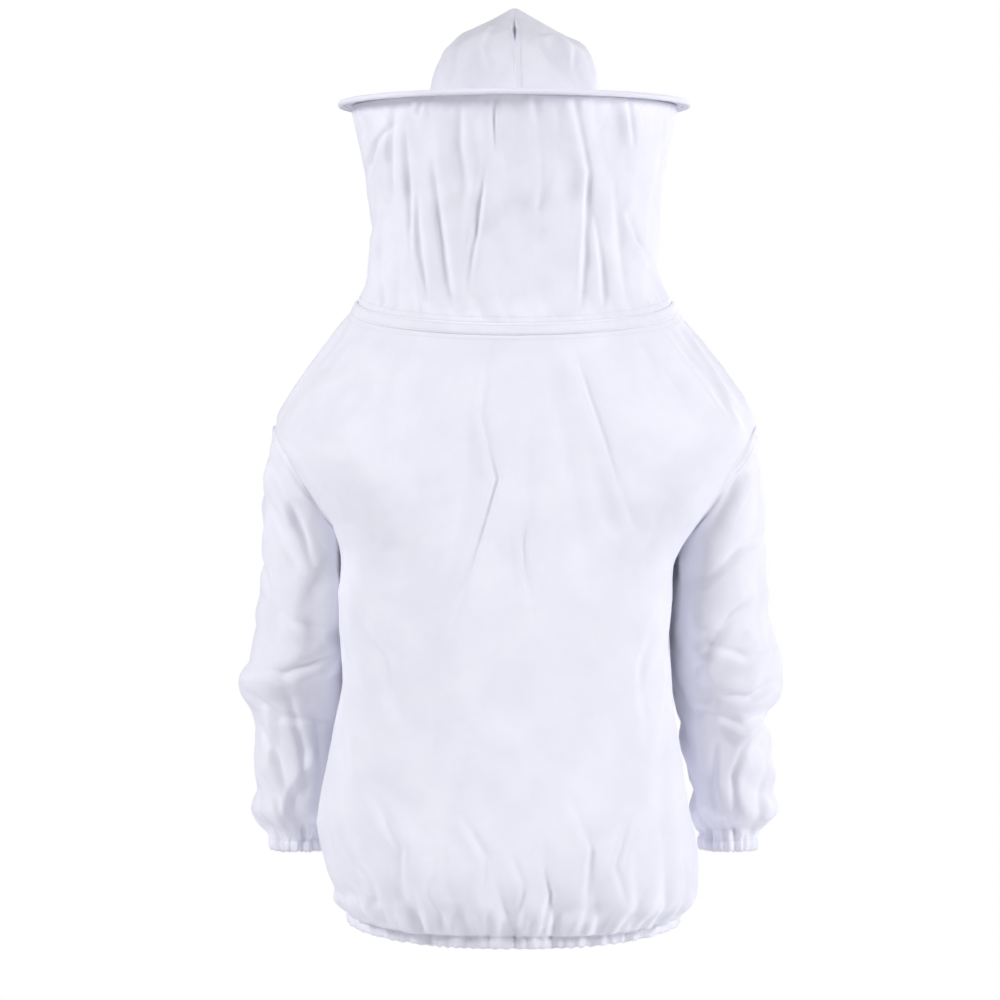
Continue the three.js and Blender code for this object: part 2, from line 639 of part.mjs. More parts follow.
// Slider: two plates joined by a web between the rows of teeth, and a staple on the outer plate.
const PLATE = { near: 2.1, thick: 1.4, width: 8 };
const WEB = { length: SLIDER_LENGTH - 2, thick: 0.9 };
const WELD = 0.1; // how far a leg runs into the plate it stands on
const plateMiddle = PLATE.near + PLATE.thick / 2;
const plateTop = PLATE.near + PLATE.thick;
const STAPLE = { length: 6, wire: 1, width: 1.8, height: 3.2 };
const stapleLeg = (STAPLE.length - STAPLE.wire) / 2;
const slider = onZip(SLIDER_ANGLE, new THREE.Group());
suit.add(slider);
add("zip_slider", welded([
  [SLIDER_LENGTH, PLATE.thick, PLATE.width, 0, plateMiddle, 0],
  [SLIDER_LENGTH, PLATE.thick, PLATE.width, 0, -plateMiddle, 0],
  [WEB.length, 2 * plateMiddle, WEB.thick, 0, 0, 0],
  [STAPLE.wire, STAPLE.height + 2 * WELD, STAPLE.width, stapleLeg, plateTop + STAPLE.height / 2 - WELD, 0],
  [STAPLE.wire, STAPLE.height + 2 * WELD, STAPLE.width, -stapleLeg, plateTop + STAPLE.height / 2 - WELD, 0],
  [STAPLE.length, STAPLE.wire, STAPLE.width, 0, plateTop + STAPLE.height - STAPLE.wire / 2, 0],
]), ZIP_METAL, slider);

// Pull: a tab whose eye goes round the staple's bar and turns about it.
const PULL = { width: 7.5, thick: 1.1, eye: 3.9, bar: 1.1, side: 0.6 };
const pullHeight = plateTop + (STAPLE.height - STAPLE.wire) / 2;
add("zip_pull", welded([
  [PULL_LENGTH, PULL.thick, PULL.width, PULL_LENGTH / 2 - PULL.bar / 2, pullHeight, 0],
], [
  [PULL.eye, 2 * PULL.thick, STAPLE.width + 2 * PULL.side, PULL.bar / 2 + PULL.eye / 2, pullHeight, 0],
]), ZIP_METAL, slider);

export default suit;
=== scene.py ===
import json
import math

import bpy
import numpy as np
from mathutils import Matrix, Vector


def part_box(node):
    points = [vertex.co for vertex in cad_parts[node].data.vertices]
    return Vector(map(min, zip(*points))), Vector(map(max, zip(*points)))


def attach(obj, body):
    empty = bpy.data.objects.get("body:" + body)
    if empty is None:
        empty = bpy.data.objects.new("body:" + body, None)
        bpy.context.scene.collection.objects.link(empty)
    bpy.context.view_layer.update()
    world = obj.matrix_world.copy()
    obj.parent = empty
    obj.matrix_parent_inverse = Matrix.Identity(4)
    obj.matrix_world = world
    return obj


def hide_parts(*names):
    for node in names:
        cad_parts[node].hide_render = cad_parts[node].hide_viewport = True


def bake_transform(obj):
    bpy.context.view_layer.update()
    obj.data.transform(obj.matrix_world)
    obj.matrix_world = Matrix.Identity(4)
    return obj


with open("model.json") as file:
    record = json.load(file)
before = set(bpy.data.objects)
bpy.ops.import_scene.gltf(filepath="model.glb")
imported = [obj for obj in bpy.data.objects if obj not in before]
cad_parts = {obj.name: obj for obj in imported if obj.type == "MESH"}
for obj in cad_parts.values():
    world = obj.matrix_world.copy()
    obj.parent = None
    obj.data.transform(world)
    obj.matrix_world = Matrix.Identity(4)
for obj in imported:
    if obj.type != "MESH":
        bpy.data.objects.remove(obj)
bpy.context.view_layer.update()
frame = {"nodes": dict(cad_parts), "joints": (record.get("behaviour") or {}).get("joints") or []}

bl_info = {
    "name": "Beekeeping smock",
    "version": (1, 0, 0),
    "blender": (4, 5, 0),
    "location": "3D View > Sidebar > Smock",
    "description": "Sews a beekeeping smock, its veil and its hat round the frame that carries them",
    "category": "Add Mesh",
}

MM = 0.001
UP = np.array((0, 0, 1.0))
WAVE_REPEAT = 0.314159  # the distance at which a wave texture of scale 1 repeats

# ------------------------------------------------------------------ measures taken from the frame


def joint(name):
    return next(j for j in frame["joints"] if j["name"] == name)


def middle(node):
    low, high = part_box(node)
    return (low + high) / 2


def half_size(node):
    low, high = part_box(node)
    return (high - low) / 2


HEM_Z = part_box("hem_casing")[0].z
HEM_HALF = half_size("hem_casing")
TIP = Vector(joint("left_sleeve_lift")["pos_m"])
ZIP_CENTRE = np.array(joint("zip_slide")["pos_m"])
RISE = -np.array(joint("zip_slide")["axis"])
AHEAD = np.array((0, -RISE[2], RISE[1]))
HAT = middle("brim_hoop")
HOOP_RADIUS = half_size("brim_hoop").x - 1.5 * MM
HAT_TILT = math.radians(-2)
CUFF_HALF = half_size("left_cuff_casing")
CUFF_MIDDLE = middle("left_cuff_casing")
CUFF_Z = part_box("left_cuff_casing")[0].z

# ------------------------------------------------------------------ measures of the pattern

UNDERARM_X, UNDERARM_Z = 190 * MM, -275 * MM
ARMHOLE_HALF_DEPTH = 80 * MM
NECK_HALF_WIDTH = 189 * MM
NECK_FRONT = math.hypot(150, 61) * MM
NECK_BACK, NECK_BACK_DROP = 130 * MM, 33 * MM
NECK_RADIUS = (NECK_HALF_WIDTH ** 2 + NECK_FRONT ** 2) / (2 * NECK_FRONT)
NECK_ARC = math.degrees(math.asin(NECK_HALF_WIDTH / NECK_RADIUS))
BAND_HEIGHT = 14 * MM
ZIP_RADIUS = NECK_RADIUS - 5 * MM
ZIP_EDGE = 6 * MM
FRONT_CUT = 5.5 * MM  # from the middle of the zip down to the front panel's folded edge
ZIP_HALF_ANGLE, UPPER_ZIP_HALF_ANGLE = 77, 71
TEETH_FAR = 2.8 * MM
WINDOW_HALF_ANGLE = 66
VEIL_TOP_RADIUS = 187 * MM
HEAD_HALF_WIDTH, HEAD_HALF_LENGTH = 98 * MM, 110 * MM
CLOTH = 0.45 * MM


def curve(points, scale_in=MM, scale_out=MM):
    """A smooth function through (x, y) points with x rising, for arrays of x."""
    x = np.array([p[0] for p in points], float) * scale_in
    y = np.array([p[1] for p in points], float) * scale_out
    slope = np.empty_like(y)
    slope[1:-1] = (y[2:] - y[:-2]) / (x[2:] - x[:-2])
    slope[0] = (y[1] - y[0]) / (x[1] - x[0])
    slope[-1] = (y[-1] - y[-2]) / (x[-1] - x[-2])

    def at(where):
        q = np.clip(where, x[0], x[-1])
        i = np.clip(np.searchsorted(x, q, side="right") - 1, 0, len(x) - 2)
        h = x[i + 1] - x[i]
        t = (q - x[i]) / h
        return (
            (2 * t ** 3 - 3 * t ** 2 + 1) * y[i]
            + (t ** 3 - 2 * t ** 2 + t) * h * slope[i]
            + (-2 * t ** 3 + 3 * t ** 2) * y[i + 1]
            + (t ** 3 - t ** 2) * h * slope[i + 1]
        )

    return at


body_half_width = curve([
    (-713, 186), (-697, 190), (-682, 202), (-655, 214), (-620, 216), (-570, 210), (-500, 200),
    (-430, 195), (-350, 193), (-275, 190),
])
shoulder_half_width = curve([(-132, 278), (-113, 274), (-85, 259), (-57, 241), (-28, 219), (0, 189)])
back_depth = curve([
    (-713, 143), (-697, 149), (-680, 162), (-640, 177), (-580, 176), (-450, 163), (-300, 156),
    (-180, 152), (-90, 143), (0, 126),
])
front_depth = curve([
    (-713, 143), (-697, 150), (-680, 165), (-640, 182), (-560, 184), (-430, 178), (-300, 172),
    (-180, 168), (-90, 158), (0, 141),
])
arm_press = curve([(-713, 0), (-680, 14), (-620, 30), (-540, 26), (-440, 27), (-330, 27), (-275, 22)])
arm_forward = curve([(-713, -60), (-600, -56), (-520, -40), (-400, -12), (-275, -5)])
row_height = curve([
    (0, -713), (0.1, -684), (0.2, -632), (0.35, -530), (0.6, -275), (0.84, -132), (1, 0),
], 1)
veil_waist = curve([
    (0, 1), (0.065, 0.957), (0.17, 0.9), (0.32, 0.872), (0.46, 0.873), (0.6, 0.896), (0.73, 0.925),
    (0.88, 0.967), (1, 1),
], 1, 1)
SLEEVE_STATIONS = [
    (278, -132, 190, -275, 0, 80),
    (287, -172, 183, -284, -2, 81),
    (290, -214, 178, -294, -3, 81),
    (288, -262, 175, -308, -5, 80),
    (290, -318, 175, -334, -8, 78),
    (302, -378, 178, -384, -14, 74),
    (308, -430, 184, -432, -24, 68),
    (300, -480, 192, -481, -34, 62),
    (299, -540, 203, -541, -46, 56),
    (296, -582, 212, -583, -54, 48),
    (283, -604, 220, -604, -58, 37),
]
sleeve_curves = [
    curve([(i / (len(SLEEVE_STATIONS) - 1), row[k]) for i, row in enumerate(SLEEVE_STATIONS)], 1)
    for k in range(6)
]
crown_share = curve([
    (0, 1), (0.15, 0.985), (0.32, 0.945), (0.48, 0.875), (0.6, 0.78), (0.7, 0.6), (0.85, 0.32), (1, 0.03),
], 1, 1)
crown_height = curve([(0, 6.5), (0.3, 32), (0.6, 68), (0.8, 88), (1, 112)], 1)

# ------------------------------------------------------------------ surfaces of the garment


def points(x, y, z):
    return np.stack(np.broadcast_arrays(x, y, z), -1).astype(float)


def cosd(a):
    return np.cos(np.radians(a))


def sind(a):
    return np.sin(np.radians(a))


def unit(v):
    return v / np.maximum(np.linalg.norm(v, axis=-1, keepdims=True), 1e-12)


def zip_point(radius, angle, lift=0.0):
    """A point of the zip's plane, angle degrees round from the front towards +X."""
    angle, radius = np.asarray(angle, float)[..., None], np.asarray(radius, float)[..., None]
    across = np.array((1.0, 0, 0))
    level_with_zip = ZIP_CENTRE + radius * (AHEAD * cosd(angle) + across * sind(angle))
    return level_with_zip + np.asarray(lift)[..., None] * RISE


def neck_point(turn):
    """The neck seam, turn degrees round from the front by the wearer's left to the back at 180."""
    t = (np.asarray(turn, float) + 180) % 360 - 180
    back = points(NECK_HALF_WIDTH * sind(t), -NECK_BACK * cosd(t), NECK_BACK_DROP * cosd(t))
    return np.where(np.abs(t)[..., None] <= 90, zip_point(NECK_RADIUS, t * NECK_ARC / 90), back)


def pressed_in(y, z):
    """How far the cloth beside the arm is pressed in."""
    fade = np.clip(1 - (z - UNDERARM_Z) / (40 * MM), 0, 1)
    press = np.where(z < UNDERARM_Z, arm_press(z), arm_press(UNDERARM_Z) * fade)
    return press * hump(y - arm_forward(z), 75 * MM)


def body_point(side, s, v):
    """The jacket's back (side 1) or front (side -1), s from -1 to 1 across it and v from hem to neck."""
    z = row_height(v)
    zone = ramp(z - UNDERARM_Z, TIP.z - UNDERARM_Z)
    in_armhole = (z > UNDERARM_Z) & (z < TIP.z)
    # Along the armhole the rows are spread evenly round its curve rather than evenly in height.
    even = (1 - np.cos(np.pi * zone)) / 2
    zone = np.where(in_armhole, zone + (even - zone) * np.abs(s) ** 4, zone)
    z = np.where(in_armhole, UNDERARM_Z + (TIP.z - UNDERARM_Z) * zone, z)
    depth = back_depth(z) if side > 0 else front_depth(z)
    edge_x = np.where(z <= UNDERARM_Z, body_half_width(z), shoulder_half_width(z))
    edge_x = np.where(in_armhole, UNDERARM_X + (TIP.x - UNDERARM_X) * zone, edge_x)
    round_y = ARMHOLE_HALF_DEPTH * np.sqrt(np.clip(1 - (2 * zone - 1) ** 2, 0, 1))
    edge_y = np.where(in_armhole, round_y, 0)
    angle = s * math.pi / 2
    wide, deep = np.abs(np.sin(angle)), np.abs(np.cos(angle))
    x = edge_x * np.sign(s) * wide ** 0.8
    y = side * (edge_y + (depth - edge_y) * deep ** 0.8)
    x = x - np.sign(x) * pressed_in(y, z) * wide ** 4
    bend = ramp(v - 0.84, 0.16)
    bend = (3 * bend ** 2 - 2 * bend ** 3) + 0 * s
    neck = neck_point(180 - s * 90 if side > 0 else s * 90)
    p = points(x, y, z + bend * neck[..., 2])
    return p + (neck - p) * (bend ** 3)[..., None]


def sleeve_point(turn, t):
    """The wearer's left sleeve, turn degrees round from its outer edge and t from armhole to cuff."""
    outer_x, outer_z, inner_x, inner_z, middle_y, half_depth = [c(t) for c in sleeve_curves]
    c, s = cosd(turn), sind(turn)
    p = points(
        (outer_x + inner_x) / 2 + (outer_x - inner_x) / 2 * c,
        middle_y + half_depth * s,
        (outer_z + inner_z) / 2 + (outer_z - inner_z) / 2 * c,
    )
    # Its first part follows the armhole's edge, which is pressed in at the underarm.
    share = np.clip(1 - t / 0.15, 0, 1) ** 2
    p[..., 0] -= share * pressed_in(p[..., 1], np.maximum(p[..., 2], UNDERARM_Z))
    return p


def veil_point(turn, t, waist=1.0):
    """The veil, turn degrees round from the front and t from neck seam to brim."""
    t = np.asarray(t, float)[..., None]
    turn = np.asarray(turn, float)
    low = neck_point(turn)
    high = points(VEIL_TOP_RADIUS * sind(turn), HAT.y - VEIL_TOP_RADIUS * cosd(turn), HAT.z - 2.2 * MM)
    high[..., 2] += math.tan(HAT_TILT) * (high[..., 1] - HAT.y)
    p = low + (high - low) * t
    towards = -cosd(turn)
    strength = np.where(towards > 0, 1 - 0.25 * towards, 1 + 0.7 * towards)
    share = 1 - (1 - veil_waist(t[..., 0])) * strength * waist
    p[..., 0] *= share
    p[..., 1] = HAT.y + (p[..., 1] - HAT.y) * share
    return p


def veil_height(turn):
    return np.linalg.norm(veil_point(turn, 1.0) - neck_point(turn), axis=-1)


def on_hat(p):
    """Points given round the hat's own middle, tilted and moved to where the hat sits."""
    c, s = math.cos(HAT_TILT), math.sin(HAT_TILT)
    x, y, z = p[..., 0], p[..., 1], p[..., 2]
    return points(x, c * y - s * z + HAT.y, s * y + c * z + HAT.z)


def crown_point(turn, t):
    return on_hat(points(
        (HEAD_HALF_WIDTH + 1 * MM) * crown_share(t) * sind(turn),
        -(HEAD_HALF_LENGTH + 1 * MM) * crown_share(t) * cosd(turn),
        crown_height(t),
    ))


# ------------------------------------------------------------------ rises and humps


def ramp(distance, length):
    """Climbs evenly from 0 to 1 over a length, and stays there."""
    return np.clip(distance / length, 0, 1)


def hump(distance, width):
    """A smooth hump, 1 in its middle and nearly 0 at twice its width."""
    return np.exp(-(distance / width) ** 2)


# ------------------------------------------------------------------ grids of points


def ripple(p, size, seed, octaves=2):
    """Smooth random waves from -1 to 1, about size metres long, at points p."""
    rng = np.random.default_rng(seed)
    total, share = 0, 0
    for octave in range(octaves):
        scale = 2 ** octave
        for _ in range(6):
            way = unit(rng.normal(size=p.shape[-1]))
            wave = 2 * math.pi * scale / size * rng.uniform(0.7, 1.3)
            total = total + np.sin(p @ way * wave + rng.uniform(0, 2 * math.pi)) / scale
        share += 2.6 / scale
    return np.clip(total / share, -1, 1)


def crumpled(p, size, seed):
    """Flattish facets that meet in sharp creases, some raised and some sunk, from about -1 to 1."""
    raised, sunk = ripple(p, size, seed, 1), ripple(p, size, seed + 1, 1)
    return np.sqrt(sunk ** 2 + 0.002) - np.sqrt(raised ** 2 + 0.002)


def lengths_along(grid, axis):
    """Distance from the first point to each point along one axis of a grid."""
    step = np.linalg.norm(np.diff(grid, axis=axis), axis=-1)
    start = np.zeros_like(np.take(step, [0], axis=axis))
    return np.concatenate([start, np.cumsum(step, axis=axis)], axis=axis)


def spread_evenly(surface, rows, columns, low, high):
    """surface(s, row) sampled so that each row's points lie evenly along it between s low and high."""
    fine = np.linspace(low, high, 401)
    share = np.linspace(0, 1, columns)
    made = []
    for row in rows:
        line = surface(fine, np.full_like(fine, row))
        along = lengths_along(line[None], 1)[0]
        made.append(surface(np.interp(share * along[-1], along, fine), np.full(columns, row)))
    return np.array(made)


def normals(grid, ring=False):
    """The unit normal at each point of a grid. ring says that its columns close on themselves."""
    if ring:
        wide = np.concatenate([grid[:, -1:], grid, grid[:, :1]], 1)
        across = (wide[:, 2:] - wide[:, :-2])
    else:
        across = np.gradient(grid, axis=1)
    return unit(np.cross(across, np.gradient(grid, axis=0)))


def doubled(grid, axis, ring=False):
    """The grid with a smooth midpoint put between each two points along one axis."""
    g = np.moveaxis(grid, axis, 0)
    if ring:
        wide = np.concatenate([g[-1:], g, g[:2]])
    else:
        wide = np.concatenate([[2 * g[0] - g[1]], g, [2 * g[-1] - g[-2]]])
    between = (9 * (wide[1:-2] + wide[2:-1]) - wide[:-3] - wide[3:]) / 16
    out = np.empty((len(g) + len(between),) + g.shape[1:])
    out[0::2] = g
    out[1::2] = between
    return np.moveaxis(out, 0, axis)


def refined(grid, ring=False):
    return doubled(doubled(grid, 0), 1, ring)


def softened(grid, times=1, ring=False):
    """The grid with each inner point moved a little towards its neighbours."""
    g = grid.copy()
    for _ in range(times):
        wide = np.concatenate([g[:, -1:], g, g[:, :1]], 1) if ring else g
        inner = (wide[:-2, 1:-1] + wide[2:, 1:-1] + wide[1:-1, :-2] + wide[1:-1, 2:]) / 4
        kept = g[1:-1] if ring else g[1:-1, 1:-1]
        kept += 0.5 * (inner - kept)
    return g


def quads(rows, columns, ring=False):
    n = np.arange(rows * columns).reshape(rows, columns)
    if ring:
        n = np.concatenate([n, n[:, :1]], 1)
    return np.stack([n[:-1, :-1], n[:-1, 1:], n[1:, 1:], n[1:, :-1]], -1).reshape(-1, 4)


# ------------------------------------------------------------------ meshes


def link(ob):
    bpy.context.scene.collection.objects.link(ob)
    return ob


def mesh_piece(name, verts, faces, smooth=True):
    me = bpy.data.meshes.new(name)
    me.from_pydata([tuple(p) for p in verts], [], [tuple(f) for f in faces])
    me.update()
    if smooth:
        me.shade_smooth()
    return link(bpy.data.objects.new(name, me))


def cloth_piece(name, grid, thickness=CLOTH, ring=False, outwards=None):
    """A piece of cloth from a grid of points, solid and with cloth coordinates in metres."""
    rows, columns = grid.shape[:2]
    faces = quads(rows, columns, ring)
    if outwards is not None:
        n = normals(grid, ring)
        if (n * outwards(grid)).sum() < 0:
            faces = faces[:, ::-1]
    ob = mesh_piece(name, grid.reshape(-1, 3), faces)
    across = lengths_along(grid, 1)
    set_uv(ob, np.stack([across - across[:, -1:] / 2, lengths_along(grid, 0)], -1).reshape(-1, 2))
    thicken(ob, thickness)
    return ob


def set_uv(ob, per_vertex):
    me = ob.data
    layer = me.uv_layers.new(name="Cloth")
    corners = np.empty(len(me.loops), int)
    me.loops.foreach_get("vertex_index", corners)
    layer.uv.foreach_set("vector", per_vertex[corners].astype(np.float32).ravel())


def thicken(ob, thickness):
    mod = ob.modifiers.new("thickness", "SOLIDIFY")
    mod.thickness = thickness
    mod.offset = -1
    apply_modifiers(ob)


def apply_modifiers(ob):
    deps = bpy.context.evaluated_depsgraph_get()
    made = bpy.data.meshes.new_from_object(ob.evaluated_get(deps), depsgraph=deps)
    old = ob.data
    ob.modifiers.clear()
    ob.data = made
    made.name = ob.name
    bpy.data.meshes.remove(old)
    return ob


def tube(name, path, radius, sides=10, ring=False, flat=1.0, up=None):
    """A round or flattened tube along a path of points."""
    path = np.asarray(path, float)
    if ring:
        ahead = unit(np.roll(path, -1, 0) - np.roll(path, 1, 0))
    else:
        ahead = unit(np.gradient(path, axis=0))
    up = np.asarray((0, 0, 1.0) if up is None else up, float)
    side = unit(np.cross(ahead, up))
    over = np.cross(side, ahead)
    a = np.linspace(0, 2 * math.pi, sides, endpoint=False)
    c, s = np.cos(a)[None, :, None], np.sin(a)[None, :, None]
    verts = path[:, None] + radius * (side[:, None] * c + flat * over[:, None] * s)
    rows = len(path)
    faces = quads(rows, sides, True).tolist()
    if ring:
        last = (rows - 1) * sides
        faces += [(last + k, last + (k + 1) % sides, (k + 1) % sides, k) for k in range(sides)]
    else:
        faces += [tuple(range(sides))[::-1], tuple((rows - 1) * sides + k for k in range(sides))]
    return mesh_piece(name, verts.reshape(-1, 3), faces)


STITCH_PITCH, STITCH_LENGTH, THREAD = 3.4 * MM, 2.5 * MM, 0.55 * MM


def stitches(name, path, out, ring=False):
    """A row of topstitching: short raised threads along a path, each bedded in the cloth at its ends."""
    path = np.asarray(path, float)
    out = np.broadcast_to(np.asarray(out, float), path.shape)
    if ring:
        path, out = np.concatenate([path, path[:1]]), np.concatenate([out, out[:1]])
    along = lengths_along(path[None], 1)[0]
    count = int(along[-1] / STITCH_PITCH)
    first = (np.arange(count) + 0.5) * along[-1] / count

    def at(values, where):
        return np.stack([np.interp(where, along, values[:, k]) for k in range(3)], -1)

    rows = []
    for share, lift in ((-0.5, -0.3), (-0.25, 0.42), (0.25, 0.42), (0.5, -0.3)):
        where = np.clip(first + share * STITCH_LENGTH, 0, along[-1])
        rows.append((at(path, where), unit(at(out, where)), lift * THREAD))
    ahead = unit(rows[-1][0] - rows[0][0])
    verts = []
    for centre, n, lift in rows:
        side = unit(np.cross(ahead, n))
        for a, b in ((-0.5, -0.5), (0.5, -0.5), (0.35, 0.5), (-0.35, 0.5)):
            verts.append(centre + n * (lift + b * THREAD) + side * a * THREAD)
    verts = np.stack(verts, 1).reshape(-1, 3)
    shape = [(0, 3, 2, 1), (12, 13, 14, 15)]
    for i in range(3):
        for k in range(4):
            m = (k + 1) % 4
            shape.append((4 * i + k, 4 * i + m, 4 * i + 4 + m, 4 * i + 4 + k))
    faces = (np.arange(count)[:, None, None] * 16 + np.array(shape)[None]).reshape(-1, 4)
    return mesh_piece(name, verts, faces)


# ------------------------------------------------------------------ cloth simulation


def drape(name, worn, cut, faces, hold, frames=30, bending=0.2, fall=0.3, stiffness=20.0):
    """Cloth of the size cut settles from the worn shape. hold is 1 where it is sewn down, and less where it
    is only guided by what is under it. Returns the settled points."""
    ob = mesh_piece(name, worn, faces)
    ob.shape_key_add(name="worn")
    key = ob.shape_key_add(name="cut")
    key.data.foreach_set("co", cut.astype(np.float32).ravel())
    group = ob.vertex_groups.new(name="hold")
    for weight in np.unique(np.round(hold, 3)):
        if weight > 0:
            group.add(np.nonzero(np.round(hold, 3) == weight)[0].tolist(), float(weight), "REPLACE")
    mod = ob.modifiers.new("cloth", "CLOTH")
    cloth = mod.settings
    cloth.rest_shape_key = key
    cloth.vertex_group_mass = "hold"
    cloth.pin_stiffness = 1.0
    cloth.quality = 4
    cloth.mass = 0.001
    cloth.air_damping = 1.0
    cloth.tension_stiffness = stiffness
    cloth.compression_stiffness = stiffness
    cloth.shear_stiffness = stiffness / 4
    cloth.bending_stiffness = bending
    cloth.tension_damping = cloth.compression_damping = cloth.shear_damping = 0.05
    cloth.bending_damping = 0.01
    cloth.effector_weights.gravity = fall
    mod.collision_settings.use_collision = False
    mod.collision_settings.use_self_collision = False
    mod.point_cache.frame_start, mod.point_cache.frame_end = 1, frames
    scene = bpy.context.scene
    for number in range(1, frames + 1):
        scene.frame_set(number)
    deps = bpy.context.evaluated_depsgraph_get()
    settled = ob.evaluated_get(deps).data
    out = np.empty(len(settled.vertices) * 3)
    settled.vertices.foreach_get("co", out)
    scene.frame_set(1)
    me = ob.data
    bpy.data.objects.remove(ob)
    bpy.data.meshes.remove(me)
    return out.reshape(-1, 3)


# ------------------------------------------------------------------ folds


def from_line(p, line):
    """Signed distance from points p, in two measures, to a line of points, and how far along it they are."""
    line = np.array(line, float) * MM
    near = np.full(p.shape[:-1], np.inf)
    signed, share = np.zeros_like(near), np.zeros_like(near)
    lengths = np.linalg.norm(np.diff(line, axis=0), axis=1)
    gone = 0
    for a, b, length in zip(line[:-1], line[1:], lengths):
        way = (b - a) / length
        along = np.clip((p - a) @ way, 0, length)
        gap = p - a - along[..., None] * way
        distance = np.linalg.norm(gap, axis=-1)
        closer = distance < near
        side = np.sign(way[0] * gap[..., 1] - way[1] * gap[..., 0])
        near = np.where(closer, distance, near)
        signed = np.where(closer, distance * side, signed)
        share = np.where(closer, (gone + along) / lengths.sum(), share)
        gone += length
    return signed, share


def creased(p, flat, out, lines):
    """Points moved along out by each line of (line, height mm, width mm): the cloth dips sharply at the line
    and stands up beside it. flat holds the two measures that the lines are given in."""
    moved = p.copy()
    for line, height, width in lines:
        d, share = from_line(flat, line)
        d = d / (width * MM)
        end = np.clip(np.sin(math.pi * share), 0, 1) ** 0.7
        raised = 0.75 * np.exp(-(d - 0.8) ** 2) + 0.35 * np.exp(-(d + 1.1) ** 2)
        shape = raised - 0.9 * hump(d, 0.42)
        moved += out * (height * MM * end * shape)[..., None]
    return moved


def gathers(turn, above, counts, depth, reach, seed):
    """Puffs above a gathered edge: many narrow ones that soon die out and fewer wide ones that go on. turn is
    in degrees round the edge and above is the height over it."""
    rng = np.random.default_rng(seed)
    total = 0
    for k, count in enumerate(counts):
        phase = rng.uniform(0, math.pi)
        lean = rng.uniform(-2, 2) * ramp(above, reach)
        sway = 0.6 * np.sin(np.radians(turn) * rng.integers(2, 6) + phase * 2)
        puff = np.abs(np.sin(np.radians(turn) * count / 2 + phase + sway + lean)) - 0.64
        uneven = 1 + 0.45 * np.sin(np.radians(turn) * rng.integers(4, 10) + phase)
        fade = np.exp(-(np.clip(above, 0, None) * (1 + 1.3 * k) / reach) ** 1.4)
        total = total + puff * uneven * fade / (1 + 0.45 * k)
    return depth * total


def sampled(grid, row, column):
    """The grid's points at fractional rows and columns."""
    r = np.clip(row, 0, grid.shape[0] - 1.001)
    c = np.clip(column, 0, grid.shape[1] - 1.001)
    i, j = r.astype(int), c.astype(int)
    fr, fc = (r - i)[..., None], (c - j)[..., None]
    low = grid[i, j] * (1 - fc) + grid[i, j + 1] * fc
    high = grid[i + 1, j] * (1 - fc) + grid[i + 1, j + 1] * fc
    return low * (1 - fr) + high * fr


def facing(grid, outwards, ring=False):
    """Unit normals of a grid, turned to point the way outwards does."""
    n = normals(grid, ring)
    return n * np.sign((n * outwards).sum(-1, keepdims=True))


def level(p):
    """Directions level out from the garment's middle line."""
    return unit(p * np.array((1, 1, 0)))


def from_hat_middle(p):
    """Directions level out from the upright line through the middle of the hat."""
    return level(p - np.array((0, HAT.y, 0)))


# ------------------------------------------------------------------ colours and materials


def linear(colour):
    """An sRGB hex colour as linear RGBA."""
    parts = [int(colour[i:i + 2], 16) / 255 for i in (1, 3, 5)]
    return [c / 12.92 if c <= 0.04045 else ((c + 0.055) / 1.055) ** 2.4 for c in parts] + [1.0]


def add_node(tree, kind, settings=None, links=None):
    """Adds a node, sets its fields and sockets, and links its inputs from other nodes' outputs."""
    made = tree.nodes.new(kind)
    for key, value in (settings or {}).items():
        if isinstance(key, int) or key in made.inputs:
            made.inputs[key].default_value = value
        else:
            setattr(made, key, value)
    for key, source in (links or {}).items():
        tree.links.new(source, made.inputs[key])
    return made


MATERIALS = {}


def new_material(name, slot, settings):
    """Makes a material for one of the record's slots, and returns its node tree and its Principled BSDF."""
    material = bpy.data.materials.new(name)
    material.use_nodes = True
    tree = material.node_tree
    tree.nodes.clear()
    shader = add_node(tree, "ShaderNodeBsdfPrincipled", settings)
    add_node(tree, "ShaderNodeOutputMaterial", links={"Surface": shader.outputs["BSDF"]})
    MATERIALS[name] = (material, slot)
    return tree, shader


def two_tones(tree, shader, share, low, high):
    """Colours a material from one tone to another by a texture's output."""
    tones = add_node(tree, "ShaderNodeValToRGB", links={"Fac": share})
    tones.color_ramp.elements[0].color = low
    tones.color_ramp.elements[1].color = high
    tree.links.new(tones.outputs["Color"], shader.inputs["Base Color"])


def raised_by(tree, shader, height, strength, distance):
    """Gives a material relief by a texture's output, up to a distance."""
    bump = add_node(tree, "ShaderNodeBump", {"Strength": strength, "Distance": distance}, {"Height": height})
    tree.links.new(bump.outputs[0], shader.inputs["Normal"])


def finish(ob, name):
    """Gives a piece one of the garment's materials."""
    material, slot = MATERIALS[name]
    ob.data.materials.clear()
    ob.data.materials.append(material)
    return ob


def worn_with(piece, material, body, *stands_for):
    """Finishes a piece that moves with one body, and hides the solids of the frame that it stands for."""
    finish(piece, material)
    if stands_for:
        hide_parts(*stands_for)
    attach(piece, body)


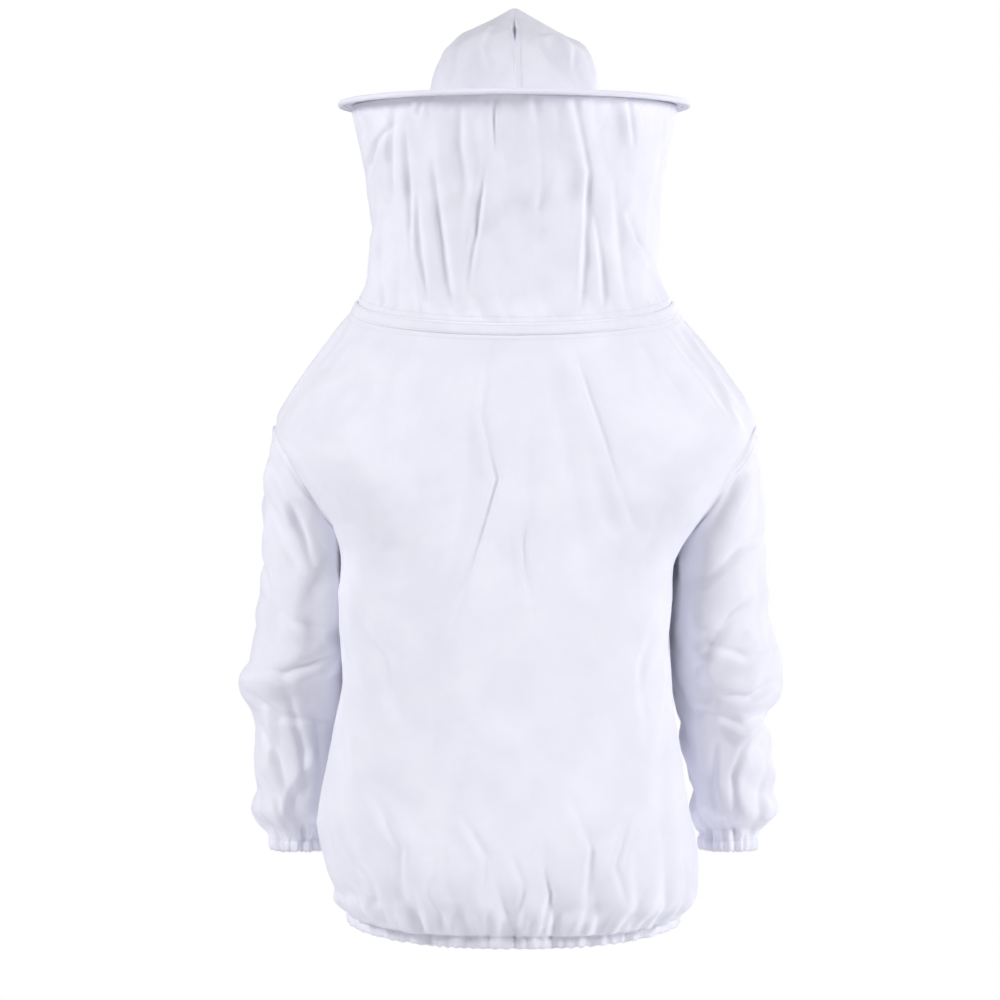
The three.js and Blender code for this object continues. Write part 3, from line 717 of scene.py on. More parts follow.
def cloth_material(name, slot, light, shade, pitch, roughness, sheen):
    """Plain-woven cotton: warp and weft threads with slubs, and faintly cloudy where the cloth is thinner."""
    tree, shader = new_material(name, slot, {
        "Roughness": roughness, "Sheen Weight": sheen, "Sheen Roughness": 0.45, "Specular IOR Level": 0.3,
    })
    place = add_node(tree, "ShaderNodeUVMap", {"uv_map": "Cloth"})
    # Threads lie side by side at the pitch, one way and then the other.
    bands = WAVE_REPEAT / pitch
    warp = add_node(tree, "ShaderNodeTexWave", {
        "bands_direction": "X", "Scale": bands, "Distortion": 0.6, "Detail": 1.0, "Detail Scale": 2.0,
    }, {"Vector": place.outputs["UV"]})
    weft = add_node(tree, "ShaderNodeTexWave", {
        "bands_direction": "Y", "Scale": bands, "Distortion": 0.6, "Detail": 1.0, "Detail Scale": 2.0,
    }, {"Vector": place.outputs["UV"]})
    weave = add_node(tree, "ShaderNodeMath", {"operation": "MULTIPLY"}, {
        0: warp.outputs["Fac"], 1: weft.outputs["Fac"],
    })
    # Slubs are thick places in a thread, about 2 mm high and 25 mm long.
    stretch = add_node(
        tree, "ShaderNodeMapping", {"Scale": (40.0, 500.0, 1.0)}, {"Vector": place.outputs["UV"]})
    slubs = add_node(
        tree, "ShaderNodeTexNoise", {"Scale": 1.0, "Detail": 2.0}, {"Vector": stretch.outputs[0]})
    # Crumples left by folding and washing, 60 mm and less across, sharp along their ridges.
    crumple = add_node(tree, "ShaderNodeTexNoise", {
        "noise_type": "RIDGED_MULTIFRACTAL", "normalize": True,
        "Scale": 16.0, "Detail": 3.0, "Roughness": 0.4, "Distortion": 0.3,
    }, {"Vector": place.outputs["UV"]})
    cloud = add_node(
        tree, "ShaderNodeTexNoise", {"Scale": 18.0, "Detail": 4.0}, {"Vector": place.outputs["UV"]})
    colours = add_node(tree, "ShaderNodeValToRGB", links={"Fac": cloud.outputs["Fac"]})
    ramp = colours.color_ramp.elements
    ramp[0].position, ramp[0].color = 0.35, shade
    ramp[1].position, ramp[1].color = 0.65, light
    tree.links.new(colours.outputs["Color"], shader.inputs["Base Color"])
    fine = add_node(tree, "ShaderNodeBump", {"Strength": 0.35, "Distance": 0.25 * MM}, {
        "Height": weave.outputs[0],
    })
    slub = add_node(tree, "ShaderNodeBump", {"Strength": 0.3, "Distance": 0.3 * MM}, {
        "Height": slubs.outputs["Fac"], "Normal": fine.outputs[0],
    })
    soft = add_node(tree, "ShaderNodeBump", {"Strength": 0.3, "Distance": 1.5 * MM}, {
        "Height": crumple.outputs["Fac"], "Normal": slub.outputs[0],
    })
    tree.links.new(soft.outputs[0], shader.inputs["Normal"])


def make_materials():
    colours = bpy.context.scene.smock_colours
    # Poplin is matt and chalky, with a faint bloom at grazing angles. Its threads are 0.25 mm apart, and are
    # drawn 1.1 mm apart so that they show.
    cloth_material("white polyester-cotton poplin, plain woven", "poplin",
                   colours.body, colours.body_shade, 1.1 * MM, 0.86, 0.12)
    # The crown is a thinner lawn, painted greyer: painted shade standing for the darker hollow behind it,
    # which shows through.
    cloth_material("white cotton lawn, plain woven", "crown_cloth",
                   colours.crown, colours.crown_shade, 0.9 * MM, 0.8, 0.1)

    # Knitted polyester net: black, with a dull sheen on each thread.
    tree, shader = new_material("black polyester net, warp knitted", "net", {
        "Roughness": 0.55, "Sheen Weight": 0.2, "Specular IOR Level": 0.4,
    })
    place = add_node(tree, "ShaderNodeTexCoord")
    # Painted glints: the lighter tone, the threads' colour where they are lit, is scattered along them by
    # this noise, on top of the shader's own sheen.
    painted_glints = add_node(
        tree, "ShaderNodeTexNoise", {"Scale": 700.0, "Detail": 1.0}, {"Vector": place.outputs["Object"]})
    two_tones(tree, shader, painted_glints.outputs["Fac"], linear("#0C0C0E"), colours.net)

    # Braided elastic: rubber cores under white yarn, ribbed across every 1.6 mm.
    tree, shader = new_material("white braided elastic", "elastic", {
        "Roughness": 0.8, "Sheen Weight": 0.1,
    })
    place = add_node(tree, "ShaderNodeUVMap", {"uv_map": "Cloth"})
    ribs = add_node(tree, "ShaderNodeTexWave", {
        "bands_direction": "X", "Scale": WAVE_REPEAT / (1.6 * MM), "Distortion": 0.4, "Detail": 1.0,
    }, {"Vector": place.outputs["UV"]})
    # The grooves between the ribs are painted darker than their crests: painted shade that follows the
    # relief's waves.
    two_tones(tree, shader, ribs.outputs["Fac"], linear("#D9D7D0"), linear("#F1EFE9"))
    raised_by(tree, shader, ribs.outputs["Fac"], 0.7, 0.4 * MM)

    # Zip tape: polyester twill, whose diagonal lines, 1.4 mm apart, catch the light: they are painted
    # lighter, with painted shade between them, following the relief.
    tree, shader = new_material("white polyester zip tape, twill woven", "zip_tape", {
        "Roughness": 0.7, "Sheen Weight": 0.1,
    })
    place = add_node(tree, "ShaderNodeUVMap", {"uv_map": "Cloth"})
    twill = add_node(tree, "ShaderNodeTexWave", {
        "bands_direction": "DIAGONAL", "Scale": WAVE_REPEAT / (1.4 * MM), "Distortion": 0.2,
    }, {"Vector": place.outputs["UV"]})
    two_tones(tree, shader, twill.outputs["Fac"], linear("#E6E6F0"), linear("#F6F6FC"))
    raised_by(tree, shader, twill.outputs["Fac"], 0.5, 0.3 * MM)

    # Sewing thread and the zip's moulded teeth, told apart by their gloss.
    for name, slot, colour, low, roughness, grain in (
        ("white polyester sewing thread, spun", "poplin", "#F2F2F5", "#D5D5DF", 0.6, 900.0),
        ("white acetal, moulded", "zip_teeth", "#F8F8FA", "#ECECF0", 0.32, 200.0),
    ):
        tree, shader = new_material(name, slot, {"Roughness": roughness, "Specular IOR Level": 0.5})
        place = add_node(tree, "ShaderNodeTexCoord")
        noise = add_node(
            tree, "ShaderNodeTexNoise", {"Scale": grain, "Detail": 2.0}, {"Vector": place.outputs["Object"]})
        two_tones(tree, shader, noise.outputs["Fac"], linear(low), linear(colour))

    # Nickel plate is bright with fine rubbing marks; spring steel is darker and drawn lengthways.
    for name, slot, colour, low, roughness, stretch in (
        ("nickel-plated zinc, die cast and tumbled", "zip_metal", "#D6D5D0", "#B9B8B4", 0.28, 1.0),
        ("spring steel wire, drawn", "spring_steel", "#9DA0A4", "#7B7E82", 0.35, 8.0),
    ):
        tree, shader = new_material(name, slot, {"Metallic": 1.0, "Roughness": roughness})
        place = add_node(tree, "ShaderNodeTexCoord")
        drawn = add_node(
            tree, "ShaderNodeMapping", {"Scale": (1.0, 1.0, stretch)}, {"Vector": place.outputs["Object"]})
        noise = add_node(
            tree, "ShaderNodeTexNoise", {"Scale": 1200.0, "Detail": 3.0}, {"Vector": drawn.outputs[0]})
        two_tones(tree, shader, noise.outputs["Fac"], linear(low), linear(colour))
        rubbed = add_node(
            tree, "ShaderNodeMapRange", {"To Min": roughness - 0.08, "To Max": roughness + 0.12},
            {"Value": noise.outputs["Fac"]})
        tree.links.new(rubbed.outputs[0], shader.inputs["Roughness"])
        raised_by(tree, shader, noise.outputs["Fac"], 0.2, 0.05 * MM)


POPLIN = "white polyester-cotton poplin, plain woven"
LAWN = "white cotton lawn, plain woven"
NET = "black polyester net, warp knitted"
ELASTIC = "white braided elastic"
ZIP_TAPE = "white polyester zip tape, twill woven"
THREAD_YARN = "white polyester sewing thread, spun"
ACETAL = "white acetal, moulded"
NICKEL = "nickel-plated zinc, die cast and tumbled"
WIRE = "spring steel wire, drawn"
FLOOR_PAINT = "matt white floor paint"


# ------------------------------------------------------------------ what a user would change


def colour_property(name, description, default):
    return bpy.props.FloatVectorProperty(
        name=name, description=description, default=linear(default), size=4, min=0, max=1, subtype="COLOR")


def length_property(name, description, default):
    return bpy.props.FloatProperty(
        name=name, description=description, default=default, subtype="DISTANCE", unit="LENGTH")


class SmockColours(bpy.types.PropertyGroup):
    body: colour_property("Body cloth", "Colour of the poplin", "#F1F1FC")
    body_shade: colour_property("Body cloth, thin places", "Colour of the poplin's thin places", "#EDEDF9")
    # The crown's two colours are greyer than the body's: painted shade of the hollow behind the thin lawn.
    crown: colour_property("Crown cloth", "Colour of the lawn over the crown", "#E6E6F0")
    crown_shade: colour_property("Crown cloth, thin places", "Colour of the lawn's thin places", "#DDDDE9")
    net: colour_property("Net", "Colour of the net's threads where they are lit", "#1D1D20")


class SmockFit(bpy.types.PropertyGroup):
    body_ease: bpy.props.FloatProperty(
        name="Body ease", description="Width of the cut body over the wearer's", default=1.035,
        subtype="FACTOR")
    hem_gather: length_property(
        "Hem puffs", "Height of the puffs over the hem's elastic", 9.5 * MM)
    sleeve_ease: bpy.props.FloatProperty(
        name="Sleeve ease", description="Width of the cut sleeve over the arm's", default=1.06,
        subtype="FACTOR")
    cuff_gather: length_property(
        "Cuff puffs", "Height of the puffs over the cuff's elastic", 6.5 * MM)
    settling: bpy.props.IntProperty(
        name="Settling", description="Frames that the cloth is given to settle", default=30, min=1)


class SmockNet(bpy.types.PropertyGroup):
    mesh: length_property(
        "Mesh", "Distance between the net's threads", 4.6 * MM)
    thread: length_property(
        "Thread", "Width of the net's threads", 0.9 * MM)


class SmockStage(bpy.types.PropertyGroup):
    floor_z: length_property(
        "Floor", "Height of the floor under a worn smock's neck", -1.45)
    distance: length_property(
        "Camera distance", "From the camera to the neck", 4.0)
    lens: bpy.props.FloatProperty(
        name="Lens", description="Focal length, in millimetres", default=125.2, subtype="NONE")
    key: bpy.props.FloatProperty(
        name="Key light", description="Power of the large softbox", default=86.0, unit="POWER")
    fill: bpy.props.FloatProperty(
        name="Fill light", description="Power of the fill softbox", default=82.0, unit="POWER")


# ------------------------------------------------------------------ jacket

SEWN = {}  # settled grids that later pieces are sewn to
HEM_HEIGHT = 15 * MM
HEM_RISE = 11 * MM  # how far the hem is drawn up at the hips
HEM_COUNTS = (29, 48, 83)
CUFF_COUNTS = (9, 14, 22)
CUFF_HEIGHT = 15 * MM
HEM_SEED, CUFF_SEED = 5, 7

# Folds pressed into the back, each as a line of (x, z), height and width, all in mm.
BACK_FOLDS = [
    ([(28, -30), (37, -123), (20, -192), (74, -376)], 4.0, 9),
    ([(-58, -20), (-95, -130), (-133, -250)], 4.0, 10),
    ([(-18, -215), (-9, -267), (-20, -353)], 3.0, 7),
    ([(-150, -40), (-176, -100), (-212, -140)], 2.4, 16),
    ([(150, -50), (172, -100), (214, -146)], 2.4, 16),
    ([(170, -330), (130, -390), (116, -470)], 3.0, 14),
    ([(-168, -330), (-140, -400), (-146, -500)], 3.0, 14),
    ([(60, -560), (30, -610), (36, -668)], 3.5, 10),
    ([(-60, -540), (-84, -600), (-78, -664)], 3.5, 10),
    ([(140, -540), (118, -600), (124, -660)], 3.5, 10),
    ([(-130, -560), (-110, -620), (-124, -668)], 3.0, 9),
    ([(6, -600), (-10, -640), (-4, -680)], 3.0, 8),
    ([(-30, -610), (-40, -650), (-28, -684)], 3.0, 8),
    ([(88, -610), (94, -650), (78, -684)], 3.0, 8),
    ([(170, -600), (150, -640), (158, -680)], 3.0, 8),
]
FRONT_FOLDS = [
    ([(-40, -80), (-60, -180), (-40, -300)], 3.5, 12),
    ([(50, -80), (80, -170), (120, -240)], 3.5, 12),
    ([(10, -90), (4, -200), (20, -330)], 3.0, 10),
    ([(-110, -70), (-150, -150), (-176, -210)], 3.5, 14),
    ([(120, -70), (150, -120), (190, -160)], 3.0, 14),
    ([(20, -500), (-10, -590), (6, -670)], 3.5, 10),
    ([(-150, -600), (-130, -640), (-142, -680)], 3.0, 9),
    ([(150, -590), (160, -640), (150, -680)], 3.0, 9),
]


def hem_out(p):
    """Directions level out from the hem's oval."""
    return unit(np.stack([p[..., 0] / HEM_HALF.x ** 2, p[..., 1] / HEM_HALF.y ** 2, 0 * p[..., 0]], -1))


def hem_turn(p):
    """Degrees round the hem's oval."""
    return np.degrees(np.arctan2(p[..., 1] / HEM_HALF.y, p[..., 0] / HEM_HALF.x))


def hem_puffs(p, depth):
    above = p[..., 2] - (HEM_Z + HEM_HEIGHT)
    # The stitches hold the cloth in, and it stands out again just above them.
    held = 0.55 + 0.45 * ramp(above, 9 * MM)
    out = gathers(hem_turn(p), above, HEM_COUNTS, depth, 62 * MM, HEM_SEED) * held
    return hem_out(p) * (out + 5 * MM * hump(above - 20 * MM, 15 * MM))[..., None]


def hem_outline(turns):
    """The hem's oval, drawn up a little at the hips."""
    place, out = oval(0, 0, HEM_Z, HEM_HALF.x, HEM_HALF.y)(turns)
    place[..., 2] += hem_rise(turns)
    return place, out


def hem_rise(turns):
    return HEM_RISE * np.abs(cosd(turns)) ** 3


def frill(turn, count, seed):
    """Uneven little folds round a gathered edge, from about -1 to 1."""
    rng = np.random.default_rng(seed)
    a = np.radians(turn)
    uneven = 0.55 + 0.45 * np.sin(a * 5 + rng.uniform(0, 6)) * np.sin(a * 11 + rng.uniform(0, 6))
    drift = 1.1 * np.sin(a * 4 + 1) + 0.8 * np.sin(a * 9 + 2)
    return uneven * 2 * (np.abs(np.sin(a * count / 2 + drift)) - 0.6)


def channel_waves(turn, counts, puff, seed):
    """Returns the fine waves along a channel, and how far its outside stands out at a share of its depth."""
    wave = gathers(turn, 0 * turn, counts, puff, 1, seed)
    fine = frill(turn, counts[-1] + 11, seed) * 1.5 * MM

    def outside(share):
        belly = 1.4 * MM * math.sin(math.pi * min(share, 1))
        return wave * (0.55 - 0.2 * share) + fine * (0.3 + 0.7 * share) + belly

    return wave, fine, outside


def over_channel(outline, turn, counts, puff, height, seed):
    """Rows of cloth down the outside of an elastic's channel, from its stitches to its folded edge."""
    place, out = outline(turn)
    _, fine, outside = channel_waves(turn, counts, puff, seed)
    rows = []
    for share, inwards in [(k / 8, 0) for k in range(1, 9)] + [(1.02, 1.2 * MM), (1.0, 2.6 * MM)]:
        drop = height * (1 - share) + fine * share
        rows.append(place + out * (outside(share) - inwards)[..., None] + UP * drop[..., None])
    return rows


def jacket_sheets():
    """Back and front as worn, settled together as one tube of cloth."""
    fit = bpy.context.scene.smock_fit
    columns = 104
    shares = np.linspace(0, 1, 2001)
    rows = np.interp(np.linspace(HEM_Z + HEM_HEIGHT, 0, 106), row_height(shares), shares)
    sheets = [
        softened(spread_evenly(lambda s, v, side=side: body_point(side, s, v), rows, columns, -1, 1), 40)
        for side in (1, -1)
    ]
    together = np.concatenate([sheet.reshape(-1, 3) for sheet in sheets])
    _, first, place = np.unique(np.round(together, 5), axis=0, return_index=True, return_inverse=True)
    place = place.ravel()
    faces = np.concatenate([
        quads(len(rows), columns), quads(len(rows), columns)[:, ::-1] + len(rows) * columns,
    ])
    faces = place[faces]
    faces = faces[[len(set(face)) == 4 for face in faces]]

    # The cut tube is as wide all the way down as at its fullest, and longer where it blouses over the hem.
    z = sheets[0][:, columns // 2, 2]
    girth = sum(lengths_along(sheet, 1)[:, -1] for sheet in sheets)
    full = girth[(z < -0.58) & (z > -0.66)].max() * 1.02
    low = ramp(-0.48 - z, 0.12)
    ease = 1 + (fit.body_ease - 1) * np.clip(-z / 0.3, 0.25, 1)
    wide = ease + (full / girth - ease) * low
    long = np.interp(z, (-0.71, -0.64, -0.58, -0.3, 0), (1.16, 1.1, 1.05, 1.03, 1.02))
    cut = []
    for sheet in sheets:
        flat = sheet.copy()
        step = np.diff(sheet, axis=0) * ((long[1:] + long[:-1]) / 2)[:, None, None]
        flat[1:] = sheet[0] + np.cumsum(step, axis=0)
        flat[..., :2] *= wide[:, None, None]
        cut.append(flat.reshape(-1, 3))
    cut = np.concatenate(cut)[first]
    worn = together[first]
    hold = np.zeros(len(worn))
    index = place.reshape(2, len(rows), columns)
    hold[index[:, 0].ravel()] = hold[index[:, -1].ravel()] = 1
    beside_arm = (z >= UNDERARM_Z - 4 * MM) & (z <= TIP.z + 4 * MM)
    for side in index:
        hold[side[beside_arm][:, (0, -1)].ravel()] = 1
    start = worn + level(worn) * (ripple(worn, 30 * MM, 3) * 0.8 * MM * (hold < 1))[:, None]
    settled = drape("jacket cloth", start, cut, faces, hold, fit.settling, 0.02, 1.0, 1.0)
    return [settled[index[k].ravel()].reshape(len(rows), columns, 3) for k in (0, 1)]


def zip_edge(grid):
    """The front panel stops just below the zip's teeth and is turned in onto the tape. Past the ends of the
    zip it goes up to the neck seam, and is turned in under the neck band."""
    last = 30
    rows, columns = grid.shape[:2]
    angle = np.degrees(np.arctan2(grid[-1, :, 0], (grid[-1] - ZIP_CENTRE) @ AHEAD))
    past = ramp(np.abs(angle) - ZIP_HALF_ANGLE + 1, 2)
    rise = np.maximum.accumulate((grid[-last:] - ZIP_CENTRE) @ RISE)
    at = np.repeat(np.arange(rows, dtype=float)[:, None], columns, 1)
    for j in range(columns):
        top = np.interp(-FRONT_CUT * (1 - past[j]), rise[:, j], at[-last:, j])
        at[-last:, j] = np.linspace(rows - last, top, last)
    cut = sampled(grid, at, np.broadcast_to(np.arange(columns), at.shape))
    on_tape = zip_point(ZIP_RADIUS + 0.8 * MM, angle, np.full(columns, -FRONT_CUT - 1.5 * MM))
    under_band = cut[-1] - level(cut[-1]) * 2.2 * MM + np.array((0, 0, 5 * MM))
    return np.concatenate([cut, (on_tape + (under_band - on_tape) * past[:, None])[None]])


class SMOCK_OT_jacket(bpy.types.Operator):
    """Sews the back and front panels, settles them and presses their folds in"""
    bl_idname = "smock.jacket"
    bl_label = "Jacket panels"

    def execute(self, context):
        fit = context.scene.smock_fit
        for name, node, sheet, side, folds in zip(
            ("back_cloth", "front_cloth"), ("back_panel", "front_panel"), jacket_sheets(), (1, -1),
            (BACK_FOLDS, FRONT_FOLDS),
        ):
            grid = refined(softened(sheet, 3))
            out = facing(grid, level(grid) + np.array((0, side * 0.3, 0)))
            # Folds keep off the seams, which hold them flat.
            u = lengths_along(grid, 1)
            from_side = np.minimum(u, u[:, -1:] - u)
            below_neck = lengths_along(grid[::-1], 0)[::-1]
            edge = ramp(from_side, 14 * MM) * ramp(below_neck, 22 * MM)
            grid = grid + (creased(grid, grid[..., (0, 2)], out, folds) - grid) * edge[..., None]
            pucker = ripple(grid * np.array((1, 1, 1.6)), 22 * MM, 11) * 0.2 * MM
            pucker = pucker + crumpled(grid * np.array((1, 1, 0.6)), 170 * MM, 12) * 3.2 * MM
            grid = grid + out * (pucker * edge)[..., None]
            grid = grid + hem_puffs(grid, fit.hem_gather) * (0.15 + 0.85 * edge[..., None])
            fade = np.clip(1 - (grid[..., 2] - HEM_Z - HEM_HEIGHT) / (80 * MM), 0, 1) ** 2
            grid[..., 2] += hem_rise(hem_turn(grid)) * fade
            # The side seams sink a little between the panels.
            seam = hump(from_side, 4 * MM) * (grid[..., 2] < UNDERARM_Z - 6 * MM)
            grid = grid - out * (seam * 1.0 * MM)[..., None]
            if side > 0:
                # The wearer's left arm is held away, and the back fills out beside it.
                x, y, z = grid[..., 0], grid[..., 1], grid[..., 2]
                beside = ramp(z + 0.66, 0.08) * ramp(-0.24 - z, 0.08)
                beside = beside * ramp(y - 0.015, 0.045) * ramp(x - 0.09, 0.07)
                grid = grid + points(1, 0, 0) * (beside * 24 * MM)[..., None]
                # The top edge is turned in under the neck band.
                tucked = grid[-1] - level(grid[-1]) * 2.2 * MM + np.array((0, 0, 5 * MM))
                grid = np.concatenate([grid, tucked[None]])
            else:
                grid = zip_edge(grid)
            edge_rows = over_channel(
                hem_outline, hem_turn(grid[0]), HEM_COUNTS, fit.hem_gather, HEM_HEIGHT, HEM_SEED)
            grid = np.concatenate([np.array(edge_rows[::-1]), grid])
            piece = cloth_piece(name, grid, outwards=level)
            worn_with(piece, POPLIN, "jacket", node)
            SEWN[name] = (grid, facing(grid, level(grid)))
            self.topstitch(name, grid)
        return {"FINISHED"}

    def topstitch(self, name, grid):
        """Stitches beside the armhole seams and under the neck seam."""
        n = facing(grid, level(grid))
        z = grid[:, 3, 2]
        rows = np.nonzero((z > UNDERARM_Z + 4 * MM) & (z < TIP.z - 2 * MM))[0]
        for number, column in enumerate((4, grid.shape[1] - 5)):
            row = stitches(f"{name}_armhole_stitches_{number + 1}", grid[rows, column], n[rows, column])
            worn_with(row, THREAD_YARN, "jacket")
        row = stitches(f"{name}_neck_stitches", grid[-5, 3:-3], n[-5, 3:-3])
        worn_with(row, THREAD_YARN, "jacket")


def ring_profile(turns, outline, section):
    """Grid of a ring: section is a list of (inwards, up) and outline gives (point, out) at each turn."""
    place, out = outline(turns)
    return np.array([place - out * inwards[..., None] + UP * up[..., None] for inwards, up in section()])


def oval(cx, cy, z, rx, ry):
    def outline(turns):
        c, s = cosd(turns), sind(turns)
        return points(cx + rx * c, cy + ry * s, z), unit(points(c / rx, s / ry, 0))
    return outline


def casing(outline, counts, height, depth, puff, seed, steps):
    """The inside of a gathered channel: behind the outer cloth, round at the fold and up inside."""
    turns = np.linspace(0, 360, steps, endpoint=False)
    wave, fine, outside = channel_waves(turns, counts, puff, seed)
    behind = 1.3 * MM

    def section():
        made = []
        for k in range(7):
            share = k / 6
            made.append((behind - outside(share), height * (0.93 - 0.86 * share) + fine * share))
        for k in range(1, 6):
            turn_in = math.pi * k / 6
            r = (depth - behind) / 2
            made.append((
                behind - (wave * 0.35 + fine) * (1 - k / 6) + r - r * math.cos(turn_in),
                1 * MM - 0.35 * r * math.sin(turn_in) + fine,
            ))
        for k in range(6):
            share = k / 5
            inwards = depth - fine * 0.4 * math.sin(math.pi * share)
            made.append((inwards, 1 * MM + (height - 4 * MM) * share + fine * (1 - share)))
        return made

    return ring_profile(turns, outline, section)


class SMOCK_OT_hem(bpy.types.Operator):
    """Gathers the hem into its casing, with the elastic inside"""
    bl_idname = "smock.hem"
    bl_label = "Hem casing and elastic"

    def execute(self, context):
        fit = context.scene.smock_fit
        grid = casing(hem_outline, HEM_COUNTS, HEM_HEIGHT, 7.5 * MM, fit.hem_gather, HEM_SEED, 720)
        piece = cloth_piece("hem_casing_cloth", grid, ring=True, outwards=None)
        worn_with(piece, POPLIN, "jacket", "hem_casing")
        turns = np.linspace(0, 360, 720, endpoint=False)
        outside = over_channel(hem_outline, turns, HEM_COUNTS, fit.hem_gather, HEM_HEIGHT, HEM_SEED)
        for number, row in enumerate((0, 6)):
            made = stitches(f"hem_stitches_{number + 1}", outside[row], hem_out(outside[row]), ring=True)
            worn_with(made, THREAD_YARN, "jacket")
        elastic_band(
            "hem_elastic_band", "hem_elastic", hem_outline, 3 * MM, 1.5 * MM, 2.5 * MM, 10 * MM,
            "jacket", 360)
        return {"FINISHED"}


def elastic_band(name, node, outline, inwards, thickness, up, height, body, steps):
    turns = np.linspace(0, 360, steps, endpoint=False)

    def section():
        flat = np.zeros(steps)
        corners = ((0, 0), (0, 1), (1, 1), (1, 0), (0, 0))
        made = []
        for (a0, b0), (a1, b1) in zip(corners[:-1], corners[1:]):
            for share in (0, 0.25, 0.5, 0.75):
                a, b = a0 + (a1 - a0) * share, b0 + (b1 - b0) * share
                made.append((flat + inwards + thickness * a, flat + up + height * b))
        return made

    grid = ring_profile(turns, outline, section)
    rows = len(grid)
    faces = quads(rows, steps, True).tolist()
    last = (rows - 1) * steps
    faces += [(last + k, last + (k + 1) % steps, (k + 1) % steps, k) for k in range(steps)]
    band = mesh_piece(name, grid.reshape(-1, 3), np.array(faces)[:, ::-1])
    around = np.broadcast_to(lengths_along(grid, 1), grid.shape[:2])
    set_uv(band, np.stack([around, lengths_along(grid, 0)], -1).reshape(-1, 2))
    worn_with(band, ELASTIC, body, node)
    return band


# ------------------------------------------------------------------ pockets


class SMOCK_OT_pockets(bpy.types.Operator):
    """Sews the two patch pockets to the front, with turned hems"""
    bl_idname = "smock.pockets"
    bl_label = "Pockets"

    def execute(self, context):
        front, front_out = SEWN["front_cloth"]
        for side, name in ((1, "left"), (-1, "right")):
            low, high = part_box(f"{name}_pocket")
            self.sew(name, side, low, high, front, front_out)
        return {"FINISHED"}

    def sew(self, name, side, low, high, front, front_out):
        steps, rises = 56, 48
        z = np.linspace(low.z + 2 * MM, high.z - 2 * MM, rises)
        middle_z = front[:, front.shape[1] // 2, 2]
        row = np.interp(z, middle_z, np.arange(len(middle_z)))
        x = np.linspace(low.x + 4 * MM, high.x - 4 * MM, steps)
        grid, out = np.empty((rises, steps, 3)), np.empty((rises, steps, 3))
        for i, r in enumerate(row):
            line = front[int(r)]
            column = np.interp(x, line[:, 0], np.arange(len(line)))
            grid[i] = sampled(front, np.full(steps, r), column)
            out[i] = unit(sampled(front_out, np.full(steps, r), column))
        s = np.linspace(0, 1, steps)[None]
        t = np.linspace(0, 1, rises)[:, None]
        bow = np.sin(math.pi * s) ** 0.6
        lift = 1.2 * MM + 15 * MM * bow * np.clip(2.0 * t, 0, 1) ** 0.8 * (0.75 + 0.25 * t)
        lift = lift + 0.8 * MM * ripple(grid, 26 * MM, 21 + side)
        grid = grid + out * lift[..., None]
        grid = softened(grid, 3)
        piece = cloth_piece(f"{name}_pocket_cloth", grid, thickness=0.9 * MM, outwards=level)
        worn_with(piece, POPLIN, "jacket", f"{name}_pocket")
        n = facing(grid, level(grid))
        edge = [(i, 2) for i in range(rises - 2, 2, -1)] + [(2, j) for j in range(2, steps - 2)]
        edge += [(i, steps - 3) for i in range(2, rises - 2)]
        i, j = np.array(edge).T
        lines = [(grid[i, j], n[i, j])] + [(grid[k, 2:-2], n[k, 2:-2]) for k in (rises - 9, rises - 3)]
        for number, (line, way) in enumerate(lines):
            made = stitches(f"{name}_pocket_stitches_{number + 1}", line, way)
            worn_with(made, THREAD_YARN, "jacket")


# ------------------------------------------------------------------ sleeves

# Folds in the sleeves as seen from behind, as lines of (x, z) on the wearer's left, height and width, in mm.
LEFT_SLEEVE_FOLDS = [
    ([(284, -150), (262, -200), (240, -250), (226, -300)], 6.0, 12),
    ([(288, -190), (262, -262), (226, -330)], 4.0, 14),
    ([(298, -320), (250, -352), (196, -366)], 4.0, 12),
    ([(306, -400), (262, -412), (200, -388)], 6.0, 12),
    ([(308, -428), (268, -462), (206, -470)], 5.0, 11),
    ([(300, -470), (276, -500), (262, -548)], 4.5, 9),
    ([(262, -420), (242, -500), (240, -560)], 4.0, 10),
    ([(228, -470), (222, -530), (230, -580)], 3.5, 9),
    ([(298, -520), (272, -560), (262, -596)], 4.0, 8),
]
RIGHT_SLEEVE_FOLDS = [
    ([(286, -160), (250, -190), (214, -262)], 4.0, 13),
    ([(290, -250), (256, -270), (206, -318)], 4.0, 13),
    ([(292, -300), (244, -344), (200, -420)], 5.0, 12),
    ([(302, -372), (262, -392), (206, -372)], 4.0, 11),
    ([(306, -420), (270, -440), (232, -436)], 6.0, 9),
    ([(300, -452), (262, -472), (204, -452)], 5.0, 12),
    ([(268, -480), (250, -530), (254, -590)], 4.0, 9),
    ([(290, -500), (284, -550), (270, -592)], 4.0, 9),
    ([(230, -490), (228, -540), (238, -586)], 3.5, 8),
]


